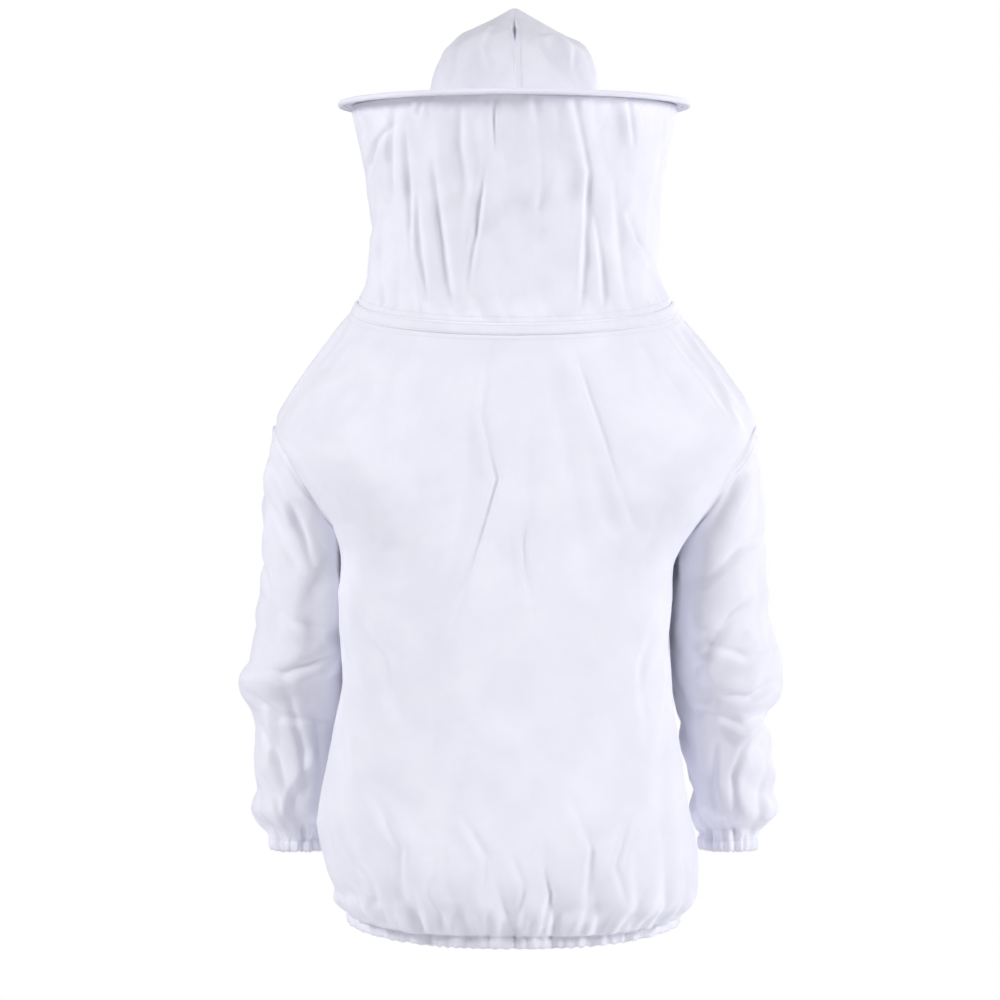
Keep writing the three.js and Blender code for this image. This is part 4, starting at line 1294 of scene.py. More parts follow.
def sleeve_sheet(side):
    """A sleeve as a ring grid, settled between its armhole and its cuff."""
    fit = bpy.context.scene.smock_fit
    columns, rises = 76, 84
    turns = np.linspace(0, 360, columns, endpoint=False)
    t = np.linspace(0.006, 1, rises)
    worn = sleeve_point(turns[None], t[:, None])
    centre = worn.mean(1, keepdims=True)
    girth = lengths_along(np.concatenate([worn, worn[:, :1]], 1), 1)[:, -1]
    # The cut sleeve tapers less than the arm, so its last part is gathered into the cuff.
    wide = np.maximum(fit.sleeve_ease, np.interp(t, (0, 0.7, 1), (girth[0], 0.37, 0.33)) / girth)
    long = np.interp(t, (0, 0.3, 0.6, 0.9, 1), (1.02, 1.04, 1.07, 1.07, 1.1))
    spine = centre.copy()
    steps = np.diff(centre, axis=0) * ((long[1:] + long[:-1]) / 2)[:, None, None]
    spine[1:] = centre[0] + np.cumsum(steps, axis=0)
    cut = spine + (worn - centre) * wide[:, None, None]
    hold = np.zeros((rises, columns))
    hold[0] = hold[-1] = 1
    out = unit(worn - centre)
    start = worn + out * (ripple(worn, 28 * MM, 31 + side) * 1.2 * MM * (hold < 1))[..., None]
    for shape in (worn, cut, start):
        shape[..., 0] *= side
    faces = quads(rises, columns, True)
    settled = drape(
        "sleeve cloth", start.reshape(-1, 3), cut.reshape(-1, 3), faces, hold.ravel(), fit.settling,
        0.02, 1.0, 1.0)
    return settled.reshape(rises, columns, 3)


class SMOCK_OT_sleeves(bpy.types.Operator):
    """Sets the sleeves into the armholes and gathers them into their cuffs"""
    bl_idname = "smock.sleeves"
    bl_label = "Sleeves"

    def execute(self, context):
        fit = context.scene.smock_fit
        for side, name, folds in ((1, "left", LEFT_SLEEVE_FOLDS), (-1, "right", RIGHT_SLEEVE_FOLDS)):
            grid = doubled(doubled(softened(sleeve_sheet(side), 8, ring=True), 0), 1, ring=True)
            centre = grid.mean(1, keepdims=True)
            out = facing(grid, grid - centre, ring=True)
            flat = np.stack([grid[..., 0] * side, grid[..., 2]], -1)
            rows = np.linspace(0, 1, len(grid))[:, None]
            hold_flat = ramp(rows, 0.03) * ramp(1 - rows, 0.03)
            behind = np.clip(out[..., 1] * 2.5 + 0.4, 0, 1) * hold_flat
            grid = grid + (creased(grid, flat, out, folds) - grid) * behind[..., None]
            ahead = np.clip(-out[..., 1] * 2.5 + 0.2, 0, 1) * hold_flat
            other = [([(x, z - 26) for x, z in line], height, width) for line, height, width in folds]
            grid = grid + (creased(grid, flat, out, other) - grid) * ahead[..., None]
            crumple = crumpled(grid, 105 * MM, 47 + side) * 4.5 * MM
            pucker = ripple(grid, 20 * MM, 41 + side) * 0.15 * MM
            grid = grid + out * ((crumple + pucker) * hold_flat)[..., None]
            # Puffs over the cuff follow the cuff's own turn, so that they meet its casing.
            cuff_out = grid - np.array((side * CUFF_MIDDLE.x, CUFF_MIDDLE.y, 0))
            turn = np.degrees(np.arctan2(cuff_out[..., 1] / CUFF_HALF.y, cuff_out[..., 0] / CUFF_HALF.x))
            above = grid[..., 2] - (CUFF_Z + CUFF_HEIGHT)
            held = 0.55 + 0.45 * ramp(above, 9 * MM)
            puff = gathers(turn, above, CUFF_COUNTS, fit.cuff_gather, 46 * MM, CUFF_SEED) * held
            grid = grid + level(cuff_out) * (puff + self.blouse(side, grid, out))[..., None]
            edge_rows = over_channel(
                cuff_outline(side), turn[-1], CUFF_COUNTS, fit.cuff_gather, CUFF_HEIGHT, CUFF_SEED)
            # The top edge is turned in under the armhole seam.
            tucked = grid[0] + unit(grid[0] - grid[1]) * 5 * MM - out[0] * 2.2 * MM
            grid = np.concatenate([tucked[None], grid, np.array(edge_rows)])
            piece = cloth_piece(
                f"{name}_sleeve_cloth", grid, ring=True, outwards=lambda g: g - g.mean(1, keepdims=True))
            finish(piece, POPLIN)
            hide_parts(f"{name}_upper_sleeve", f"{name}_lower_sleeve")
            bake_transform(piece)
            n = facing(grid, grid - grid.mean(1, keepdims=True), ring=True)
            row = stitches(f"{name}_sleeve_armhole_stitches", grid[4], n[4], ring=True)
            finish(row, THREAD_YARN)
            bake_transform(row)
            SEWN[f"{name}_sleeve"] = (grid, n)
        return {"FINISHED"}

    def blouse(self, side, grid, out):
        """Where a sleeve bags out at its elbow and over its cuff. The two arms are held differently."""
        z = grid[..., 2]
        outer = np.clip(out[..., 0] * side + 0.2, 0, 1)
        low = (5 + 5 * outer) * MM * hump(z + 0.576, 17 * MM)
        if side > 0:
            return outer * 12 * MM * hump(z + 0.425, 26 * MM) + low
        notch = -12 * MM * hump(z + 0.462, 12 * MM)
        return outer * (notch + 4 * MM * hump(z + 0.405, 24 * MM)) + low


def cuff_outline(side):
    return oval(side * CUFF_MIDDLE.x, CUFF_MIDDLE.y, CUFF_Z, CUFF_HALF.x, CUFF_HALF.y)


class SMOCK_OT_cuffs(bpy.types.Operator):
    """Gathers the sleeves' ends into casings, with elastic inside"""
    bl_idname = "smock.cuffs"
    bl_label = "Cuffs"

    def execute(self, context):
        fit = context.scene.smock_fit
        for side, name in ((1, "left"), (-1, "right")):
            outline = cuff_outline(side)
            grid = casing(outline, CUFF_COUNTS, CUFF_HEIGHT, 7 * MM, fit.cuff_gather, CUFF_SEED, 240)
            piece = cloth_piece(f"{name}_cuff_cloth", grid, ring=True)
            worn_with(piece, POPLIN, f"{name}_sleeve", f"{name}_cuff_casing")
            middle_of = np.array((side * CUFF_MIDDLE.x, CUFF_MIDDLE.y, 0))
            turns = np.linspace(0, 360, 240, endpoint=False)
            outside = over_channel(outline, turns, CUFF_COUNTS, fit.cuff_gather, CUFF_HEIGHT, CUFF_SEED)
            for number, row in enumerate((0, 6)):
                line = outside[row]
                made = stitches(
                    f"{name}_cuff_stitches_{number + 1}", line, level(line - middle_of), ring=True)
                worn_with(made, THREAD_YARN, f"{name}_sleeve")
            elastic_band(
                f"{name}_cuff_elastic_band", f"{name}_cuff_elastic", outline, 2.7 * MM, 1.3 * MM, 2.5 * MM,
                9 * MM, f"{name}_sleeve", 120)
        return {"FINISHED"}


# ------------------------------------------------------------------ veil

BAND_TURNS = (87.5, 272.5)
VEIL_STEP = 0.75  # degrees round the veil between its finished columns
WINDOW_ROW = 7  # the settled veil's row, of 60, where the front band ends and the net starts

# Folds down the back of the veil, as lines of (x, z), height and width, in mm.
VEIL_FOLDS = [
    ([(102, 240), (107, 212)], 3.0, 6),
    ([(137, 226), (137, 170), (138, 120)], 4.5, 9),
    ([(137, 206), (154, 186), (168, 160)], 3.5, 8),
    ([(124, 206), (117, 122), (112, 18)], 3.5, 8),
    ([(109, 130), (104, 60), (96, -14)], 3.5, 8),
    ([(93, 170), (80, 60), (68, -14)], 4.0, 10),
    ([(22, 236), (24, 200), (22, 164)], 2.5, 6),
    ([(30, 170), (42, 90), (55, 10)], 3.5, 9),
    ([(-65, 226), (-82, 150), (-74, -8)], 4.0, 9),
    ([(-126, 232), (-130, 200), (-132, 180)], 3.5, 7),
    ([(-88, 104), (-96, 50), (-100, -4)], 4.0, 9),
    ([(-125, 112), (-137, 76), (-160, 50)], 4.0, 8),
    ([(-20, 230), (-30, 150), (-26, 60)], 1.8, 14),
    ([(60, 236), (62, 180), (52, 120)], 2.2, 12),
    ([(-110, 150), (-118, 60), (-128, 0)], 2.6, 12),
    ([(150, 120), (152, 60), (148, 0)], 3.0, 12),
]


def veil_from(turn):
    """Share of the veil's height where it starts: over the band behind, and over the zip ahead."""
    turn = np.minimum(turn % 360, 360 - turn % 360)
    share = ramp(turn - 84, 8)
    return (ZIP_EDGE + (BAND_HEIGHT + 1.8 * MM - ZIP_EDGE) * share) / veil_height(turn)


def veil_sheet():
    """The whole veil as a ring grid, settled between the neck and the brim."""
    turns = np.arange(0, 360, 2 * VEIL_STEP)
    share = np.linspace(0, 1, 61)[:, None]
    start = veil_from(turns)[None]
    t = start + (1 - start) * share
    worn = veil_point(turns[None], t)
    cut = veil_point(turns[None], t, waist=0.35)
    out = from_hat_middle(worn)
    # Upright folds begin where the cloth is drawn in.
    slack = np.sin(math.pi * share) * np.ones_like(t)
    folds = ripple(np.stack([turns[None] * 3.2 * MM + 0 * t, 0.16 * t], -1), 46 * MM, 61)
    begun = worn + out * (folds * slack * 3.0 * MM)[..., None]
    hold = np.zeros(t.shape)
    hold[0] = hold[-1] = 1
    settled = drape(
        "veil cloth", begun.reshape(-1, 3), cut.reshape(-1, 3), quads(*t.shape, True), hold.ravel(),
        14, 0.03, 0.6, 1.0)
    return settled.reshape(*t.shape, 3)


class SMOCK_OT_veil(bpy.types.Operator):
    """Hangs the veil from the brim: cloth behind and at the sides, a band over the zip, and net ahead"""
    bl_idname = "smock.veil"
    bl_label = "Veil"

    def execute(self, context):
        sheet = veil_sheet()
        grid = doubled(doubled(softened(sheet, 5, ring=True), 0), 1, ring=True)
        out = facing(grid, from_hat_middle(grid), ring=True)
        rows = np.linspace(0, 1, len(grid))[:, None]
        held = ramp(rows, 0.05) * ramp(1 - rows, 0.03)
        behind = np.clip(out[..., 1] * 2.5 + 0.3, 0, 1) * held
        flat = np.stack([grid[..., 0], grid[..., 2]], -1)
        grid = grid + (creased(grid, flat, out, VEIL_FOLDS) - grid) * behind[..., None] * 1.25
        crumple = crumpled(grid * np.array((1, 1, 0.4)), 95 * MM, 72) * 3.0 * MM
        pucker = ripple(grid, 26 * MM, 71) * 0.2 * MM
        grid = grid + out * ((crumple + pucker) * held)[..., None]
        # Small gathers where the veil is sewn to the brim and to the neck.
        turns = np.arange(0, 360, VEIL_STEP)[None] + 0 * rows
        height = 0.26 * rows + 0 * turns
        at_brim = gathers(turns, 0.26 - height, (47, 83), 1.6 * MM, 34 * MM, 9)
        at_neck = gathers(turns, height, (41, 79), 1.4 * MM, 30 * MM, 13)
        gathered = at_brim * ramp(1 - rows, 0.02) + at_neck * ramp(rows, 0.03)
        grid = grid + out * gathered[..., None]
        side, around = round(WINDOW_HALF_ANGLE / VEIL_STEP), round(360 / VEIL_STEP)
        window = np.arange(-side, side + 1) % around
        back = np.arange(side, around - side + 1)
        split = WINDOW_ROW * 2
        self.back(grid[:, back])
        self.front_band(grid[: split + 1, window])
        self.net(grid[split:, window], context.scene.smock_net)
        self.neck_band()
        return {"FINISHED"}

    def back(self, grid):
        # The lower edge is turned in under the neck band, and less deeply over the zip.
        turns = np.linspace(WINDOW_HALF_ANGLE, 360 - WINDOW_HALF_ANGLE, grid.shape[1])
        under = ramp(96 - np.abs(turns - 180), 3)[:, None]
        tucked = grid[0] - level(grid[0]) * (1 + 1.2 * under) * MM - UP * (1 + 5 * under) * MM
        grid = np.concatenate([tucked[None], grid])
        piece = cloth_piece("veil_back_cloth", grid, outwards=level)
        finish(piece, POPLIN)
        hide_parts("veil_back")
        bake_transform(piece)
        n = facing(grid, level(grid))
        for number, (line, way) in enumerate((
            (grid[4], n[4]), (grid[2:-2, 3], n[2:-2, 3]), (grid[2:-2, -4], n[2:-2, -4]),
        )):
            row = stitches(f"veil_back_stitches_{number + 1}", line, way)
            finish(row, THREAD_YARN)
            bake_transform(row)

    def front_band(self, grid):
        piece = cloth_piece("veil_front_band_cloth", grid, thickness=0.9 * MM, outwards=level)
        worn_with(piece, POPLIN, "hood", "veil_front_band")
        n = facing(grid, level(grid))
        for number, i in enumerate((2, len(grid) - 3)):
            row = stitches(f"veil_front_band_stitches_{number + 1}", grid[i], n[i])
            worn_with(row, THREAD_YARN, "hood")

    def net(self, grid, sizes):
        """Two sets of threads that cross on the slant, with a bound edge all round."""
        rows, columns = grid.shape[:2]
        wide = float(lengths_along(grid, 1)[:, -1].mean())
        tall = float(lengths_along(grid, 0)[-1].mean())
        n = facing(grid, level(grid))
        gap = sizes.mesh * math.sqrt(2)
        verts, faces, total = [], [], 0
        for way in (1, -1):
            for number in range(int((wide + tall) / gap)):
                # first is where the thread, carried on, would cross the net's lower edge.
                first = number * gap - (tall if way > 0 else 0)
                ends = sorted((-first * way, (wide - first) * way))
                low, high = max(0, ends[0]), min(tall, ends[1])
                if high - low < 2 * MM:
                    continue
                v = np.linspace(low, high, max(2, int((high - low) / (4 * MM)) + 1))
                u = first + way * v
                at = sampled(grid, v / tall * (rows - 1), u / wide * (columns - 1))
                out = unit(sampled(n, v / tall * (rows - 1), u / wide * (columns - 1)))
                ahead = unit(np.gradient(at, axis=0))
                side = unit(np.cross(ahead, out)) * sizes.thread / 2
                lift = out * (0.12 * MM * way)
                strip = np.stack([at - side + lift, at + side + lift], 1)
                verts.append(strip.reshape(-1, 3))
                faces.append(quads(len(v), 2) + total)
                total += 2 * len(v)
        piece = mesh_piece("veil_net_mesh", np.concatenate(verts), np.concatenate(faces))
        worn_with(piece, NET, "hood", "veil_net")
        # A narrow tape of folded cloth covers the net's cut edges.
        edge = [(0, j) for j in range(columns)] + [(i, columns - 1) for i in range(1, rows)]
        edge += [(rows - 1, j) for j in range(columns - 2, -1, -1)] + [(i, 0) for i in range(rows - 2, 0, -1)]
        i, j = np.array(edge).T
        bound = tube("veil_net_binding", grid[i, j] + n[i, j] * 0.6 * MM, 2.6 * MM, 10, True, 0.4, n[i, j])
        worn_with(bound, POPLIN, "hood")

    def neck_band(self):
        """A strip folded over the back of the neck seam and stitched along both edges."""
        turns = np.linspace(*BAND_TURNS, 300)
        rows = np.linspace(1.2 * MM, BAND_HEIGHT + 1 * MM, 12)[:, None]
        grid = veil_point(turns[None], rows / veil_height(turns)[None])
        n = facing(grid, level(grid))
        share = np.linspace(0, 1, 12)[:, None]
        lift = 0.9 * MM * np.sin(math.pi * share) ** 0.35 + 0.2 * MM * ripple(grid, 14 * MM, 81)
        grid = grid + n * lift[..., None]
        piece = cloth_piece("neck_band_cloth", grid, thickness=0.9 * MM, outwards=level)
        worn_with(piece, POPLIN, "jacket", "neck_band")
        for number, i in enumerate((2, 9)):
            row = stitches(f"neck_band_stitches_{number + 1}", grid[i, 2:-2], n[i, 2:-2])
            worn_with(row, THREAD_YARN, "jacket")


# ------------------------------------------------------------------ hat


class SMOCK_OT_brim(bpy.types.Operator):
    """Makes the brim: two rounds of cloth strained over a sprung hoop, and the binding that holds them"""
    bl_idname = "smock.brim"
    bl_label = "Brim"

    def execute(self, context):
        turns = np.arange(0, 360, 1.0)
        share = np.linspace(0, 1, 26)[:, None]
        edge = HOOP_RADIUS - 2.3 * MM
        # The cloth is strained between crown and hoop, so fine wrinkles run straight out.
        strain = gathers(turns[None], 0 * share + 0 * turns[None], (61, 97, 131), 1.0 * MM, 1, 15)
        sag = np.sin(math.pi * share)
        for name, side, seed in (("brim_top", 1, 17), ("brim_underside", -1, 19)):
            radius_x = HEAD_HALF_WIDTH + (edge - HEAD_HALF_WIDTH) * share
            radius_y = HEAD_HALF_LENGTH + (edge - HEAD_HALF_LENGTH) * share
            flat = points(radius_x * sind(turns), -radius_y * cosd(turns), 0)
            wave = strain * (0.35 + 0.65 * sag) + ripple(flat, 60 * MM, seed) * 1.2 * MM * sag
            flat[..., 2] = 4 * MM * (1 - share) + side * 0.8 * MM + wave
            grid = on_hat(flat)
            piece = cloth_piece(
                f"{name}_cloth", grid, ring=True, outwards=lambda g, side=side: g * 0 + (0, 0, side))
            worn_with(piece, POPLIN, "hood", name)
            n = facing(grid, grid * 0 + (0, 0, side), ring=True)
            for number, i in enumerate((2, 22)):
                row = stitches(f"{name}_stitches_{number + 1}", grid[i], n[i], ring=True)
                worn_with(row, THREAD_YARN, "hood")
        self.binding(turns)
        finish(frame["nodes"]["brim_hoop"], WIRE)
        return {"FINISHED"}

    def binding(self, turns):
        """Bias binding folded round the hoop, pinched behind it by its stitches and puckered by them."""
        steps = 28
        a = np.radians(180 + 24 + (360 - 48) * np.linspace(0, 1, steps))[:, None]
        pucker = 1 + 0.07 * ripple(points(turns * 3.5 * MM, 0, 0), 9 * MM, 23, 3)[None]
        reach = 3.4 * MM * pucker
        back = np.clip(-np.cos(a), 0, 1)
        radius = HOOP_RADIUS + reach * np.cos(a) * (1 + 0.9 * back ** 2)
        height = reach * np.sin(a) * (1 - 0.25 * back)
        grid = on_hat(points(radius * sind(turns), -radius * cosd(turns), height))
        piece = cloth_piece("brim_binding_cloth", grid, ring=True, outwards=from_hat_middle)
        worn_with(piece, POPLIN, "hood", "brim_binding")
        for number, i in enumerate((4, steps - 5)):
            line = grid[i]
            hoop = on_hat(points(HOOP_RADIUS * sind(turns), -HOOP_RADIUS * cosd(turns), 0))
            row = stitches(f"brim_binding_stitches_{number + 1}", line, unit(line - hoop), ring=True)
            worn_with(row, THREAD_YARN, "hood")


GORES = ("crown_front_left", "crown_back_left", "crown_back_right", "crown_front_right")
# Creases pressed into the crown as seen from behind, as lines of (x, z), height and width, in mm.
CROWN_FOLDS = [
    ([(30, 334), (46, 324), (66, 306)], 3.0, 9),
    ([(-34, 328), (-56, 314), (-84, 300)], 3.0, 9),
    ([(60, 308), (66, 280), (78, 256)], 3.0, 10),
    ([(20, 330), (34, 296), (28, 262)], 2.2, 9),
    ([(-30, 320), (-36, 290), (-60, 262)], 2.4, 10),
    ([(-70, 300), (-66, 276), (-76, 254)], 2.4, 9),
]


class SMOCK_OT_crown(bpy.types.Operator):
    """Joins the crown's four gores, with its sweatband and the elastic that fits it to the head"""
    bl_idname = "smock.crown"
    bl_label = "Crown"

    def execute(self, context):
        turns = np.arange(0, 360, 1.5)
        # The last row closes the gores' points together.
        t = np.append(np.linspace(0, 0.985, 90), 0.998)[:, None]
        grid = crown_point(turns[None], t)
        middle_of = on_hat(points(0, 0, crown_height(t) - 12 * MM))
        out = facing(grid, grid - middle_of, ring=True)
        slack = ramp(t, 0.3) * ramp(0.985 - t, 0.3)
        seam_gap = np.minimum(turns % 90, 90 - turns % 90)[None] * crown_share(t) * 1.75 * MM
        seam = hump(seam_gap, 3.2 * MM)
        loose = slack * (1 - 0.8 * seam)
        # The cloth folds outwards more than inwards, where the sweatband is.
        crumple = np.maximum(crumpled(grid, 120 * MM, 91) * 7 * MM, -1.5 * MM)
        grid = grid + out * (crumple * loose)[..., None]
        flat = np.stack([grid[..., 0], grid[..., 2]], -1)
        behind = np.clip(out[..., 1] * 3 + 0.3, 0, 1) * loose
        grid = grid + (creased(grid, flat, out, CROWN_FOLDS) - grid) * behind[..., None]
        grid = grid - out * (seam * 1.4 * MM)[..., None]
        quarter = len(turns) // 4
        for i, name in enumerate(GORES):
            part = grid[:, np.arange(i * quarter, (i + 1) * quarter + 1) % len(turns)]
            piece = cloth_piece(f"{name}_cloth", part, outwards=lambda g: g - middle_of)
            worn_with(piece, LAWN, "hood", name)
            n = facing(part, part - middle_of)
            row = stitches(f"{name}_stitches", part[3:-9, 3], n[3:-9, 3])
            worn_with(row, THREAD_YARN, "hood")
        self.inside()
        return {"FINISHED"}

    def inside(self):
        all_round, back_part = np.arange(0, 360, 2.0), np.linspace(125, 235, 90)
        for name, node, material, turns, rows, lift, ring in (
            ("sweatband_cloth", "sweatband", POPLIN, all_round, (0.01, 0.28), -3.4 * MM, True),
            ("headband_elastic_band", "headband_elastic", ELASTIC, back_part, (0.04, 0.24), -6.2 * MM, False),
        ):
            t = np.linspace(*rows, 12)[:, None]
            grid = crown_point(turns[None], t)
            out = facing(grid, from_hat_middle(grid), ring)
            # The elastic draws what it is sewn to into small upright tucks.
            behind = np.clip(out[..., 1] * 2, 0, 1)
            tucks = np.abs(sind(turns * 26))[None] * behind * 1.1 * MM
            grid = grid + out * (lift - tucks)[..., None]
            piece = cloth_piece(name, grid, thickness=0.8 * MM, ring=ring, outwards=from_hat_middle)
            worn_with(piece, material, "hood", node)


# ------------------------------------------------------------------ zip


class SMOCK_OT_zip(bpy.types.Operator):
    """Lays the zip round the front of the neck: tapes, teeth, stops, slider and pull"""
    bl_idname = "smock.zip"
    bl_label = "Zip"

    def execute(self, context):
        self.tape("zip_tape_lower_woven", "zip_tape_lower", -1, ZIP_HALF_ANGLE, "jacket")
        self.tape("zip_tape_upper_woven", "zip_tape_upper", 1, UPPER_ZIP_HALF_ANGLE, "hood")
        self.teeth("zip_teeth_lower_row", "zip_teeth_lower", -1, ZIP_HALF_ANGLE, "jacket")
        self.teeth("zip_teeth_upper_row", "zip_teeth_upper", 1, UPPER_ZIP_HALF_ANGLE, "hood")
        for node, body in (
            ("zip_stop_left", "jacket"), ("zip_stop_right", "jacket"),
            ("zip_slider", "slider"), ("zip_pull", "pull"),
        ):
            self.cast(node, body)
        return {"FINISHED"}

    def tape(self, name, node, side, half_angle, body):
        angles = np.linspace(-half_angle, half_angle, 200)
        rise = np.linspace(TEETH_FAR + 0.4 * MM, TEETH_FAR + 13 * MM, 8)
        if side < 0:
            grid = zip_point(ZIP_RADIUS, angles[None], -rise[:, None])
        else:
            start = zip_point(ZIP_RADIUS, angles, TEETH_FAR + 0.4 * MM)
            turn = angles * 90 / NECK_ARC
            far = veil_point(turn, (TEETH_FAR + 13 * MM) / veil_height(turn))
            far = far - unit(zip_point(1.0, angles) - zip_point(0.0, angles)) * 7 * MM
            grid = start[None] + (far - start)[None] * np.linspace(0, 1, 8)[:, None, None]
        piece = cloth_piece(name, grid, thickness=0.6 * MM, outwards=level)
        worn_with(piece, ZIP_TAPE, body, node)

    def teeth(self, name, node, side, half_angle, body):
        """Moulded teeth 3.2 mm apart, each a stem with a wider head that hooks behind its neighbours."""
        pitch = 3.2 * MM
        count = int(math.radians(2 * half_angle) * ZIP_RADIUS / pitch)
        # The two rows are set half a pitch apart, so that their teeth mesh.
        angles = np.linspace(-half_angle, half_angle, count) + side * 0.25 * math.degrees(pitch / ZIP_RADIUS)
        outline = [
            (-0.55, 2.9), (0.55, 2.9), (0.6, 1.8), (0.95, 1.2), (0.8, 0.55), (0.0, 0.4), (-0.8, 0.55),
            (-0.95, 1.2), (-0.6, 1.8),
        ]
        verts, faces = [], []
        for angle in angles:
            outward = zip_point(1.0, angle) - zip_point(0.0, angle)
            along = np.cross(outward, RISE)
            centre = zip_point(ZIP_RADIUS, angle)
            first = len(verts)
            for depth, scale in ((-1.25, 0.86), (-0.9, 1.0), (0.9, 1.0), (1.25, 0.86)):
                for x, z in outline:
                    up = side * (1.65 + (z - 1.65) * scale)
                    verts.append(centre + (along * x * scale + RISE * up + outward * depth) * MM)
            n = len(outline)
            for ring in range(first, first + 3 * n, n):
                for k in range(n):
                    m = (k + 1) % n
                    faces.append((ring + k, ring + m, ring + n + m, ring + n + k))
            faces.append(tuple(first + k for k in range(n))[::-1])
            faces.append(tuple(first + 3 * n + k for k in range(n)))
        piece = mesh_piece(name, verts, faces, smooth=False)
        # A cord runs along the tape's edge between the teeth's stems.
        path = zip_point(ZIP_RADIUS, np.linspace(-half_angle, half_angle, 160), side * 2.75 * MM)
        cord = tube(f"{name}_cord", path, 0.8 * MM, 10, up=RISE)
        finish(piece, ACETAL)
        finish(cord, ZIP_TAPE)
        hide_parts(node)
        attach(piece, body)
        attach(cord, body)

    def cast(self, node, body):
        """A casting's edges are rounded where it was tumbled."""
        piece = link(bpy.data.objects.new(f"{node}_cast", frame["nodes"][node].data.copy()))
        piece.matrix_world = frame["nodes"][node].matrix_world
        mod = piece.modifiers.new("worn edges", "BEVEL")
        mod.width, mod.segments, mod.limit_method = 0.28 * MM, 2, "ANGLE"
        apply_modifiers(piece)
        worn_with(piece, NICKEL, body, node)


# ------------------------------------------------------------------ stage


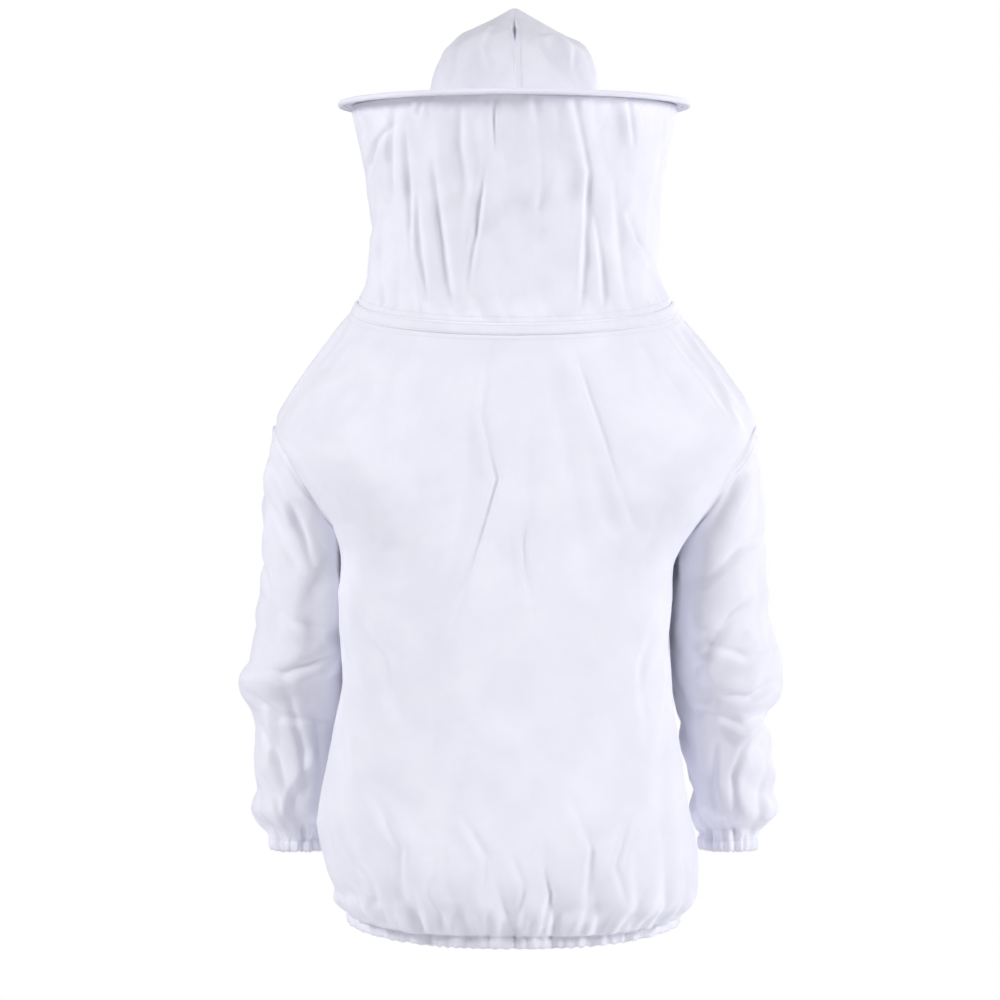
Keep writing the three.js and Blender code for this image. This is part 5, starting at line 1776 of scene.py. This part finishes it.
class SMOCK_OT_stage(bpy.types.Operator):
    """Sets out the floor, the lights and the camera"""
    bl_idname = "smock.stage"
    bl_label = "Stage"

    def execute(self, context):
        stage = context.scene.smock_stage
        scene = context.scene
        floor = mesh_piece("floor", *self.disc(3.2, stage.floor_z))
        tree, shader = new_material(FLOOR_PAINT, "", {"Roughness": 0.7})
        place = add_node(tree, "ShaderNodeTexCoord")
        noise = add_node(tree, "ShaderNodeTexNoise", {"Scale": 3.0}, {"Vector": place.outputs["Object"]})
        two_tones(tree, shader, noise.outputs["Fac"], linear("#EDEDF0"), linear("#F4F4F6"))
        floor.data.materials.append(MATERIALS[FLOOR_PAINT][0])
        self.world(scene)
        for name, place, energy, size in (
            ("key softbox", (2.9, 1.8, 1.5), stage.key, 1.2),
            ("fill softbox", (-3.0, 1.7, 0.9), stage.fill, 1.4),
            ("front softbox", (-1.6, -3.0, 1.2), stage.key * 0.7, 1.6),
        ):
            light = bpy.data.lights.new(name, "AREA")
            light.energy, light.size, light.shape = energy, size, "SQUARE"
            lamp = link(bpy.data.objects.new(name, light))
            lamp.location = place
            lamp.rotation_euler = (Vector((0, 0, -0.2)) - Vector(place)).to_track_quat("-Z", "Y").to_euler()
        camera = bpy.data.cameras.new("camera")
        camera.lens, camera.sensor_width = stage.lens, 36
        eye = link(bpy.data.objects.new("camera", camera))
        eye.location = (0.0167, stage.distance, -0.215)
        eye.rotation_euler = (math.radians(90), 0, math.radians(180))
        scene.camera = eye
        scene.view_settings.view_transform = "Standard"
        return {"FINISHED"}

    def disc(self, radius, z):
        a = np.radians(np.arange(0, 360, 3))
        rims = [points(r * np.cos(a), r * np.sin(a), z) for r in (0.4, radius)]
        verts = np.concatenate([[(0, 0, z)], *rims])
        n = len(a)
        faces = [(0, 1 + k, 1 + (k + 1) % n) for k in range(n)]
        faces += [(1 + k, 1 + n + k, 1 + n + (k + 1) % n, 1 + (k + 1) % n) for k in range(n)]
        return verts, faces

    def world(self, scene):
        """A white studio: brighter overhead and to the wearer's left, darker below."""
        world = bpy.data.worlds.new("white studio")
        scene.world = world
        world.use_nodes = True
        tree = world.node_tree
        tree.nodes.clear()
        place = add_node(tree, "ShaderNodeTexCoord")
        way = add_node(tree, "ShaderNodeSeparateXYZ", links={0: place.outputs["Generated"]})
        strength = None
        for axis, start, end, low, high in (
            ("Z", -0.6, 0.5, 0.15, 0.38), ("X", -0.9, 0.9, 0.86, 1.0), ("Y", 0.1, 0.8, 1.0, 0.8),
        ):
            part = add_node(tree, "ShaderNodeMapRange", {
                "From Min": start, "From Max": end, "To Min": low, "To Max": high,
                "interpolation_type": "SMOOTHSTEP",
            }, {"Value": way.outputs[axis]}).outputs[0]
            strength = part if strength is None else add_node(
                tree, "ShaderNodeMath", {"operation": "MULTIPLY"}, {0: strength, 1: part}).outputs[0]
        light = add_node(tree, "ShaderNodeBackground", {"Color": linear("#FFFFFF")}, {"Strength": strength})
        # The paper behind the smock is lit on its own, so it stays white however the smock is lit.
        paper = add_node(tree, "ShaderNodeBackground", {"Color": linear("#FFFFFF"), "Strength": 1.0})
        seen = add_node(tree, "ShaderNodeLightPath")
        both = add_node(tree, "ShaderNodeMixShader", links={
            0: seen.outputs["Is Camera Ray"], 1: light.outputs[0], 2: paper.outputs[0],
        })
        add_node(tree, "ShaderNodeOutputWorld", links={"Surface": both.outputs[0]})


# ------------------------------------------------------------------ add-on

PIECES = (
    SMOCK_OT_jacket, SMOCK_OT_hem, SMOCK_OT_pockets, SMOCK_OT_sleeves, SMOCK_OT_cuffs, SMOCK_OT_veil,
    SMOCK_OT_brim, SMOCK_OT_crown, SMOCK_OT_zip, SMOCK_OT_stage,
)
SETTINGS = {
    "smock_colours": SmockColours, "smock_fit": SmockFit, "smock_net": SmockNet, "smock_stage": SmockStage,
}


class SMOCK_PT_panel(bpy.types.Panel):
    """Sizes, colours and pieces of the smock"""
    bl_idname = "SMOCK_PT_panel"
    bl_label = "Beekeeping smock"
    bl_space_type = "VIEW_3D"
    bl_region_type = "UI"
    bl_category = "Smock"

    def draw(self, context):
        for key, group in SETTINGS.items():
            box = self.layout.box()
            for name in group.__annotations__:
                box.prop(getattr(context.scene, key), name)
        for piece in PIECES:
            self.layout.operator(piece.bl_idname)


def register():
    for key, group in SETTINGS.items():
        bpy.utils.register_class(group)
        setattr(bpy.types.Scene, key, bpy.props.PointerProperty(type=group))
    for cls in (*PIECES, SMOCK_PT_panel):
        bpy.utils.register_class(cls)


def unregister():
    for cls in reversed((*PIECES, SMOCK_PT_panel)):
        bpy.utils.unregister_class(cls)
    for key, group in SETTINGS.items():
        delattr(bpy.types.Scene, key)
        bpy.utils.unregister_class(group)


def main():
    register()
    make_materials()
    for piece in PIECES:
        group, name = piece.bl_idname.split(".")
        getattr(getattr(bpy.ops, group), name)()


if __name__ == "__main__":
    main()
